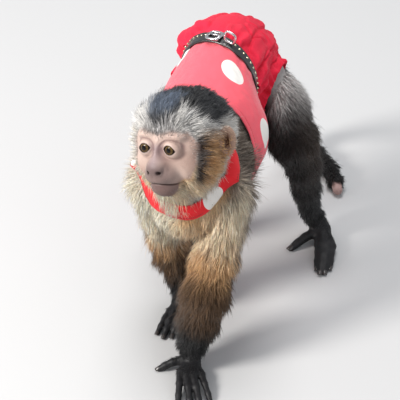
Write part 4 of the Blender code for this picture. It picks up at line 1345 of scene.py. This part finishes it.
# ------------------------------------------------------------------ clothes
def shirt_front_table():
    """Where the shirt starts behind the neck and the arms, for each turn round the trunk."""
    angles = np.radians(np.arange(0, 360, 2.0))
    angle, back = np.meshgrid(angles, np.arange(70, 180, 0.5), indexing="ij")
    spots = TRUNK.point(angle, back, SHIRT_LIFT)
    local = (spots - NECKLINE_CENTRE) @ NECKLINE_AXES
    cut = (np.hypot(local[..., 0], local[..., 1]) < NECKLINE_HALF + NECKLINE_FLARE) & (local[..., 2] > -25)
    cut |= (spots - FRONT_EDGE_POINT) @ FRONT_EDGE_DIRECTION > 0
    for arm, radii in ((LEFT_ARM, LEFT_ARM_RADII), (RIGHT_ARM, RIGHT_ARM_RADII)):
        for i in range(2):
            gap = bar_distance(*np.moveaxis(spots, -1, 0), arm[i], arm[i + 1], radii[i] - 3, radii[i + 1] - 3)
            cut |= gap < 0
    front = np.where(cut, back, 70).max(axis=1)
    kernel = np.exp(-((np.arange(-8, 9) / 3.0) ** 2))
    padded = np.concatenate([front[-8:], front, front[:8]])
    front = np.convolve(padded, kernel / kernel.sum(), mode="valid")
    return np.append(angles, 2 * np.pi), np.append(front, front[0])


FRONT_TABLE = shirt_front_table()


def shirt_front(angle):
    return np.interp(np.mod(angle, 2 * np.pi), *FRONT_TABLE)


def wrap_grid(rows, columns):
    """Quads of a grid that closes round on itself."""
    index = np.arange(rows * columns).reshape(rows, columns)
    nxt = np.roll(index, -1, axis=1)
    return np.stack([index[:-1], nxt[:-1], nxt[1:], index[1:]], axis=-1).reshape(-1, 4)


CLOTH_TURN = 264.0        # the cloth's length round the trunk
CORAL, CRIMSON, SCARLET = colour(230, 86, 100), colour(222, 34, 62), colour(218, 26, 36)
DOT_WHITE = colour(228, 224, 218)
SHIRT_DOTS = (  # turn round the trunk in degrees, and distance back
    (66, 186), (5, 162), (-18, 200), (-62, 172), (-110, 198), (-112, 146), (-160, 170), (158, 205),
    (196, 138), (104, 132),
)
DOT_RADIUS = 11.5
BAND_DOTS, BAND_DOT_RADIUS = (333, 52, 112, 166), 11.0    # turns round the neck in degrees


def cloth_material(name, dots, red, weave=2300.0, sheen=0.3):
    """Red jersey with white dots at the given places of its map, which is in metres."""
    made = Material(name, roughness=0.82, Sheen_Weight=sheen, Sheen_Roughness=0.5, Specular_IOR_Level=0.25)
    place = made.node("UVMap", uv_map="cloth").outputs["UV"]
    base = made.mix(made.noise(160.0, 4.0), red * 0.9, red * 1.12)
    mask = None
    for spot, radius in dots:
        reach = made.node("VectorMath", operation="DISTANCE")
        made.feed(reach.inputs[0], place)
        reach.inputs[1].default_value = (*spot, 0.0)
        inside = made.math("LESS_THAN", reach.outputs["Value"], radius)
        mask = made.math("MAXIMUM", mask, inside) if mask else inside
    made.colour(made.mix(mask, base, DOT_WHITE) if mask else base)
    scaled = made.node("Mapping", Scale=(1.0, 0.55, 1.0))
    made.feed(scaled.inputs["Vector"], place)
    rows = made.node("TexWave", Scale=weave * 0.35, Distortion=1.5, Detail=1.0)
    made.feed(rows.inputs["Vector"], place)
    height = made.math("ADD", made.noise(weave, 2.0, scaled.outputs["Vector"]), rows.outputs["Fac"])
    made.relief(height, 0.00012, 0.6)
    return made.made


def cloth_map(obj, uv_of_point):
    """A map in metres of cloth, from each vertex's own place."""
    corners = np.zeros(len(obj.data.loops), np.int32)
    obj.data.loops.foreach_get("vertex_index", corners)
    uv = uv_of_point[corners]
    sides = uv[:, 0].reshape(-1, 4)
    span = CLOTH_TURN * MM
    sides = sides - np.round((sides - sides[:, :1]) / span) * span
    write_map(obj, "cloth", np.stack([sides.ravel(), uv[:, 1]], axis=1))


def cloth_place(angle, back):
    return np.stack([np.mod(angle, 2 * np.pi) / (2 * np.pi) * CLOTH_TURN, back], axis=-1) * MM


def sew(obj, thickness, material, offset=0.0):
    modifier = obj.modifiers.new("thickness", "SOLIDIFY")
    modifier.thickness = thickness * MM
    modifier.offset = offset
    dress(obj, material, "cloth", obj.name.removesuffix("_cloth"))


def flank_puff(angle, back):
    """How far the loose cloth stands out at the flanks, behind the arms."""
    left, right = (bump(np.arctan2(np.sin(angle - at), np.cos(angle - at)), 0, 0.55) for at in (-0.10, 3.3))
    return (7.5 * left + 4.5 * right) * bump(back, 170, 28)


def shirt_creases(angle, back, noise):
    """Shallow creases: a few long ones down the flank, and small ones at the hems."""
    spots = np.stack([angle * 42, back, np.zeros_like(back)], axis=-1)
    long = noise(spots * (1.0, 0.35, 1.0) + 11, 13.0) * 0.8
    fine = noise(spots + 71, 4.5) * 0.35
    near_belt = step(BELT_BACK - 22, BELT_BACK - 4, back)
    pulled = np.sin(angle * 17 + 2.0 * noise(spots, 20.0)) * near_belt * 0.45
    return (long + fine) * (0.35 + 0.65 * np.abs(np.cos(angle))) + pulled


def make_shirt(noise):
    rows, columns = 96, 240
    share = np.linspace(0, 1, rows)[:, None]
    angle = np.tile(turns_of(columns), (rows, 1))
    start = shirt_front(angle)
    reach = share * (BELT_BACK + BELT_WIDTH / 2 + 1 - start)
    back = start + reach
    hem = 0.66 * bump(reach, 2.2, 1.6)
    tuck = -1.0 * step(BELT_BACK - 9, BELT_BACK - 3, back)
    out = SHIRT_LIFT + shirt_creases(angle, back, noise) + flank_puff(angle, back) + hem + tuck
    points = TRUNK.point(angle, back, out).reshape(-1, 3)
    obj = mesh_object("shirt_cloth", points, wrap_grid(rows, columns)[:, ::-1])
    cloth_map(obj, cloth_place(angle, back).reshape(-1, 2))
    spots = [(cloth_place(math.radians(a), b), DOT_RADIUS * MM) for a, b in SHIRT_DOTS]
    sew(obj, SHIRT_THICKNESS, cloth_material("shirt_cloth", spots, CORAL))

    def stitch_line(angle):
        front = shirt_front(angle)
        return TRUNK.point(angle, front + 4.6, SHIRT_LIFT + 0.85 + flank_puff(angle, front))

    make_hem_stitches("shirt_stitches", stitch_line, 150, colour(220, 60, 74))


STITCH_RADIUS, STITCH_SHARE = 0.22, 0.62    # and the share of each step that the thread covers


def make_hem_stitches(name, path, count, tone):
    """A row of short thread stitches along a closed path."""
    turns = turns_of(count)
    ends = zip(path(turns), path(turns + 2 * np.pi / count * STITCH_SHARE))
    obj = mesh_object(name, *joined(bar_mesh(a, b, STITCH_RADIUS) for a, b in ends))
    made = Material(name, roughness=0.7)
    made.colour(tone)
    dress(obj, made.made, "cloth")


def bar_mesh(a, b, radius):
    """A straight closed four-sided bar between two points."""
    ring = radius * circle(*crosswise(unit(b - a), (0.3, 0.5, 0.8)), turns_of(4))
    faces = [[i, (i + 1) % 4, 4 + (i + 1) % 4, 4 + i] for i in range(4)] + [[3, 2, 1, 0], [4, 5, 6, 7]]
    return np.concatenate([a + ring, b + ring]), faces


BAND_WIDTH = 15.0                           # the neck band as sewn, wider than its plain solid
SUNK_DEPTH, SUNK_TURN, SUNK_WIDTH = 4.5, math.radians(258), 0.55    # the band's dip into the breast's fur


def neckline_point(turn, radius, height):
    """A point of the oval band, which narrows towards the breast."""
    breast = np.maximum(0, -np.sin(turn))
    taper = 1 - NECKLINE_TAPER * (1 - np.exp(-breast / NECKLINE_EASE))
    short = 1 - NECKLINE_SHORT * breast
    radius = radius - SUNK_DEPTH * bump(turn, SUNK_TURN, SUNK_WIDTH)
    local = [radius * np.cos(turn) * taper, radius * np.sin(turn) * short, height + 0 * turn]
    return NECKLINE_CENTRE + np.stack(local, axis=-1) @ NECKLINE_AXES.T


def make_neckline(noise):
    """The double band of the neck opening, slightly rolled, with dots and a stitched edge."""
    columns, rows = 220, 13
    turn = np.tile(turns_of(columns), (rows, 1))
    across = np.linspace(-1, 1, rows)[:, None]
    height = -across * BAND_WIDTH / 2
    spots = np.stack([turn * 40, across * 6 + 0 * turn, 0 * turn], axis=-1)
    wave = 0.9 * noise(spots, 15.0) + 0.3 * noise(spots + 31, 5.0)
    roll = 0.9 * (1 - across**2)
    flare = NECKLINE_FLARE * (across * BAND_WIDTH / NECKLINE_WIDTH + 1) / 2
    points = neckline_point(turn, NECKLINE_HALF - 1.0 + flare + roll + wave, height + 0.5 * wave)
    obj = mesh_object("neckline_cloth", points.reshape(-1, 3), wrap_grid(rows, columns))
    uv = np.stack([turn / (2 * np.pi) * CLOTH_TURN, -height + 0 * turn], axis=-1) * MM
    cloth_map(obj, uv.reshape(-1, 2))
    dots = [(np.array([t / 360 * CLOTH_TURN, 0.0]) * MM, BAND_DOT_RADIUS * MM) for t in BAND_DOTS]
    material = cloth_material("neckline_cloth", dots, SCARLET, sheen=0.1)
    sew(obj, 1.5, material)
    edge = NECKLINE_HALF + NECKLINE_FLARE * (0.30 * BAND_WIDTH / NECKLINE_WIDTH + 0.5) + 0.6

    def stitch_line(turn):
        return neckline_point(turn, edge, -0.30 * BAND_WIDTH)

    make_hem_stitches("neckline_stitches", stitch_line, 130, colour(92, 46, 44))


LEG_OPENINGS = (  # a point of each leg opening and the way it faces
    (np.array([38.0, 235.0, 152.0]), unit(np.array([0.96, -0.10, -0.22]))),
    (np.array([-37.0, 224.0, 142.0]), unit(np.array([-0.62, -0.52, -0.58]))),
)
SLEEVES = (
    (np.array([8.0, 264, 168]), np.array([52.0, 244, 142]), 28.0, 27.0),
    (np.array([-16.0, 262, 168]), np.array([-40.0, 216, 136]), 28.0, 27.0),
)


def bloomers_distance(x, y, z):
    value = BLOOMERS.distance(x, y, z)
    for start, end, start_radius, end_radius in SLEEVES:
        value = smooth_min(value, bar_distance(x, y, z, start, end, start_radius, end_radius), 9.0)
    return value


def bloomer_folds(points, noise):
    """Gathers that run back from the belt and in from the leg openings, and soft puckers between."""
    angle, back = BLOOMERS.place(points)
    from_belt = np.maximum(back - BELT_BACK - 5, 0)
    drift = 1.6 * noise(points, 22.0)
    around = np.stack([45 * np.cos(angle), 0.24 * back, 45 * np.sin(angle)], axis=1)
    gathers = np.sin(angle * 15 + 3.0 * drift) * np.exp(-from_belt / 15) * 3.2
    gathers += np.sin(angle * 31 + 2.0 * drift) * np.exp(-from_belt / 7) * 0.8
    long = 4.2 * noise(around + 19, 12.0) + 2.0 * noise(around * (1, 1.6, 1) + 5, 6.0)
    long -= 3.6 * bump(noise(around + 43, 13.0), 0, 0.12)
    long -= 2.6 * bump(noise(points * (1, 0.7, 1) + 91, 15.0), 0, 0.10)
    bunch = 4.5 * bump(np.cos(angle), -0.85, 0.5) * step(-0.3, 0.4, np.sin(angle)) * bump(from_belt, 16, 16)
    folds = gathers + long * step(1, 10, from_belt) * np.exp(-from_belt / 90) + bunch
    folds += 2.0 * noise(points + 7, 24.0)
    for (start, end, _, _), (plane_point, normal) in zip(SLEEVES, LEG_OPENINGS):
        axis = unit(end - start)
        out = points - start - ((points - start) @ axis)[:, None] * axis
        side = unit(np.cross(axis, (0, 0, 1.0)))
        turn = np.arctan2(out @ np.cross(side, axis), out @ side)
        inside = -((points - plane_point) @ normal)
        mine = (np.linalg.norm(out, axis=1) < 36) * (inside > -4)
        ripple = np.sin(turn * 17 + 2.5 * drift)
        cinched = -2.0 * bump(inside, 8, 3.2) * (1 + 0.3 * ripple)
        folds += mine * (cinched + step(9, 1, inside) * (-0.5 + 2.1 * ripple))
    return folds


def make_bloomers(noise):
    field = Field((np.arange(-62, 66, 1.15), np.arange(196, 314, 1.15), np.arange(104, 236, 1.15)))
    field.add((-50, 206, 112), (54, 305, 230), bloomers_distance, 1.0)
    points, quads = field.surface()
    points = relaxed(points, quads, 3)
    normal = normals_of(points, quads)
    points = points + normal * bloomer_folds(points, noise)[:, None]
    points = points + normal * np.maximum(0, -0.4 - TRUNK.distance(*points.T))[:, None]    # out of the skin
    obj = mesh_object("bloomers_cloth", points, quads)
    cloth_map(obj, cloth_place(*BLOOMERS.place(points)))
    trim_bloomers(obj)
    material = cloth_material("bloomers_cloth", (), CRIMSON, weave=2600.0, sheen=0.04)
    sew(obj, 0.9, material, offset=-1.0)


def trim_bloomers(obj):
    """Opens the waist and the two leg openings with clean edges."""
    shape = bmesh.new()
    shape.from_mesh(obj.data)
    swing = math.tan(math.radians(TRUNK.ring(BELT_BACK + 3)[4]))
    waist = TRUNK.point(math.pi / 2, BELT_BACK + 3.0) * (1, 1, 0) + (0, 0, 186)
    cuts = [(waist, unit(np.array([-swing, -1.0, 0.0])), waist, math.inf)]
    cuts += [(*opening, sleeve[1], 60.0) for opening, sleeve in zip(LEG_OPENINGS, SLEEVES)]
    for point, normal, centre, reach in cuts:
        centre = Vector(world(centre))
        faces = [face for face in shape.faces if (face.calc_center_median() - centre).length < reach * MM]
        geometry = dict.fromkeys(part for face in faces for part in (face, *face.verts, *face.edges))
        bmesh.ops.bisect_plane(
            shape, geom=list(geometry), dist=1e-6, plane_co=Vector(world(point)), plane_no=Vector(normal),
            clear_outer=True,
        )
    bmesh.ops.triangulate(shape, faces=[face for face in shape.faces if len(face.verts) > 4])
    shape.to_mesh(obj.data)
    shape.free()
    obj.data.shade_smooth()


def make_belt():
    """A strap with rounded edges round the waist, over the shirt."""
    columns, half = 200, BELT_WIDTH / 2
    # Along the trunk, and share of the thickness.
    edge = [(half, 0.0), (half, 0.6), (half - 0.9, 1.0), (half - 2.0, 0.86)]
    profile = [(-along, share) for along, share in edge] + [(0, 0.95)] + edge[::-1]
    base, turn = SHIRT_LIFT + 0.3, turns_of(columns)
    points = [TRUNK.point(turn, BELT_BACK + along, base + BELT_THICKNESS * share) for along, share in profile]
    index = np.arange(len(profile) * columns).reshape(len(profile), columns)
    nxt = np.roll(index, -1, axis=1)
    inner = np.stack([index[-1], nxt[-1], nxt[0], index[0]], axis=-1)
    quads = np.concatenate([wrap_grid(len(profile), columns), inner])[:, ::-1]
    obj = mesh_object("belt_strap", np.concatenate(points), quads)
    bevel = obj.modifiers.new("smooth", "SUBSURF")
    bevel.levels = bevel.render_levels = 1
    made = Material("belt_leather", roughness=0.3, Coat_Weight=0.5, Coat_Roughness=0.15)
    grain = made.noise(1300.0, 4.0)
    made.colour(made.mix(grain, (0.004, 0.004, 0.005), (0.018, 0.016, 0.015)))
    made.roughness(0.22, 0.42, grain)
    made.relief(grain, 0.00025, 0.7)
    dress(obj, made.made, "leather", "belt")


STUD_BACK = 1.8     # how far behind the strap's middle the studs run
STUD_TURNS = np.radians(np.arange(112, 428, 7.5))


def stud(turn):
    centre = TRUNK.point(turn, BELT_BACK + STUD_BACK, SHIRT_LIFT + BELT_THICKNESS + 0.2)
    return dome(centre, unit(TRUNK.point(turn, BELT_BACK + STUD_BACK, 9.0) - centre), 1.15, 0.8)


def make_studs():
    """Small domed studs along the strap's rear half."""
    obj = mesh_object("belt_studs", *joined(stud(turn) for turn in STUD_TURNS))
    dress(obj, metal("pale_brass", np.array([0.80, 0.72, 0.52]), 0.25), "metal")


def dome(centre, out, radius, height, sides=10, rows=4):
    """A closed low dome that stands on a flat base."""
    ring = circle(*crosswise(out, (0.1, 0.3, 0.9)), turns_of(sides))
    rise = np.linspace(0, 0.94, rows) * math.pi / 2
    curve = zip(radius * np.cos(rise), height * np.sin(rise))
    levels = [centre + ring * size + out * up for size, up in curve]
    levels = [centre + ring * 0.2 * radius - out * 0.8, *levels, centre + ring * 0.02 * radius + out * height]
    return np.concatenate(levels), wrap_grid(len(levels), sides)


def metal(name, tone, roughness):
    made = Material(name, roughness=roughness, Metallic=1.0)
    made.colour(made.mix(made.noise(300.0), tone * 0.85, tone))
    made.relief(made.noise(900.0), 0.0001, 0.3)
    return made.made


def rounded_frame(centre, axes, length, width, rim, sides=12, around=48):
    """A closed wire frame with rounded corners and a flattened round section."""
    square = circle(np.array([1.0, 0, 0]), np.array([0, 1.0, 0]), turns_of(around))
    path = np.sign(square) * np.abs(square) ** 0.55 * (length - rim, width - rim, 0) / 2
    ahead = unit(np.roll(path, -1, axis=0) - np.roll(path, 1, axis=0))
    aside = np.cross(ahead, (0, 0, 1.0))
    points = path[:, None] + 0.5 * rim * circle(aside[:, None], np.array([0, 0, 0.75]), turns_of(sides)[None])
    index = np.arange(around * sides).reshape(around, sides)
    ring, nxt = np.roll(index, -1, axis=1), np.roll(index, -1, axis=0)
    quads = np.stack([index, ring, np.roll(nxt, -1, axis=1), nxt], axis=-1).reshape(-1, 4)
    return centre + points.reshape(-1, 3) @ axes.T, quads


def belt_axes(angle):
    """Along the strap, across it and out of it, at a turn round the trunk."""
    here = TRUNK.point(angle, BELT_BACK, SHIRT_LIFT)
    along = unit(TRUNK.point(angle + 0.01, BELT_BACK, SHIRT_LIFT) - here)
    out = TRUNK.point(angle, BELT_BACK, SHIRT_LIFT + 5) - here
    across = unit(np.cross(out, along))
    return here, np.stack([along, across, np.cross(along, across)], axis=1)


BUCKLE_TURN, RING_TURN = math.radians(98), math.radians(76)


def make_buckle():
    """A rounded frame with its prong and bar, and an upright wire ring beside it."""
    steel = metal("polished_steel", np.array([0.66, 0.66, 0.67]), 0.14)
    here, axes = belt_axes(BUCKLE_TURN)
    along, across, out = axes.T
    middle = here + out * (BELT_THICKNESS + 1.6)
    parts = [
        rounded_frame(middle, axes, 15.0, 15.5, 3.0),
        bar_mesh(middle - along * 6.5 + out * 0.6, middle + along * 6.8 + out * 0.9, 1.0),
        bar_mesh(middle - along * 6 - across * 7, middle - along * 6 + across * 7, 1.3),
    ]
    dress(mesh_object("buckle", *joined(parts)), steel, "metal", "belt_buckle")

    here, axes = belt_axes(RING_TURN)
    along, across, out = axes.T
    upright = np.stack([along, out, np.cross(along, out)], axis=1)
    ring = rounded_frame(here + out * (BELT_THICKNESS + 6.4) + across, upright, 12.6, 12.6, 2.5)
    dress(mesh_object("ring", *ring), steel, "metal", "belt_ring")


# ------------------------------------------------------------------ camera, light and floor
AZIMUTH, ELEVATION, DISTANCE, LENS = math.radians(14), math.radians(35), 1600.0, 175.68
FLOOR_HALF = 6.0                            # metres
AIM = np.array([0.0, 69.0, 216.0])          # this point of the plan stands left of and above the middle
AIM_LEFT, AIM_UP = 0.00871, 0.03074         # by these tangents


def make_camera():
    level = math.cos(ELEVATION)
    ahead = Vector((-math.sin(AZIMUTH) * level, math.cos(AZIMUTH) * level, -math.sin(ELEVATION)))
    aside = Vector((-AIM_LEFT, AIM_UP, -1.0)).rotation_difference(Vector((0, 0, -1)))
    camera = add_object("camera", bpy.data.cameras.new("camera"))
    camera.data.lens = LENS
    camera.data.clip_end = 20
    camera.location = Vector(world(AIM)) - ahead * DISTANCE * MM
    camera.rotation_mode = "QUATERNION"
    camera.rotation_quaternion = ahead.to_track_quat("-Z", "Y") @ aside
    bpy.context.scene.camera = camera


def add_light(name, place, size, power, tint=(1, 1, 1)):
    data = bpy.data.lights.new(name, "AREA")
    data.shape = "DISK"
    data.size, data.energy, data.color = size, power, tint
    lamp = add_object(name, data)
    lamp.location = place
    lamp.rotation_euler = (Vector((0, 0, 0.12)) - Vector(place)).to_track_quat("-Z", "Y").to_euler()


def make_studio():
    mesh = bpy.data.meshes.new("floor")
    corners = [(x * FLOOR_HALF, y * FLOOR_HALF, 0) for x, y in ((-1, -1), (1, -1), (1, 1), (-1, 1))]
    mesh.from_pydata(corners, [], [(0, 1, 2, 3)])
    made = Material("floor", roughness=0.8)
    made.colour((0.52, 0.52, 0.52))
    mesh.materials.append(made.made)
    add_object("floor", mesh)
    place = bpy.data.worlds.new("studio")
    place.use_nodes = True
    sky = place.node_tree.nodes["Background"]
    sky.inputs["Color"].default_value = (0.92, 0.95, 1.0, 1.0)
    sky.inputs["Strength"].default_value = 0.60
    bpy.context.scene.world = place
    add_light("key", (-1.3, -1.0, 1.15), 0.6, 45, (1.0, 0.97, 0.93))
    add_light("fill", (1.3, -1.1, 0.8), 0.9, 3, (0.95, 0.97, 1.0))
    add_light("top", (-0.2, 0.4, 1.8), 0.8, 18)
    bpy.context.scene.view_settings.view_transform = "Standard"


def main():
    noise = Noise(SEED)
    points, quads, look = make_skin(noise)
    make_coat(points, quads, look, noise)
    make_eye(1, "eye_left")
    make_eye(-1, "eye_right")
    make_nails()
    make_shirt(noise)
    make_neckline(noise)
    make_bloomers(noise)
    make_belt()
    make_studs()
    make_buckle()
    make_camera()
    make_studio()


main()
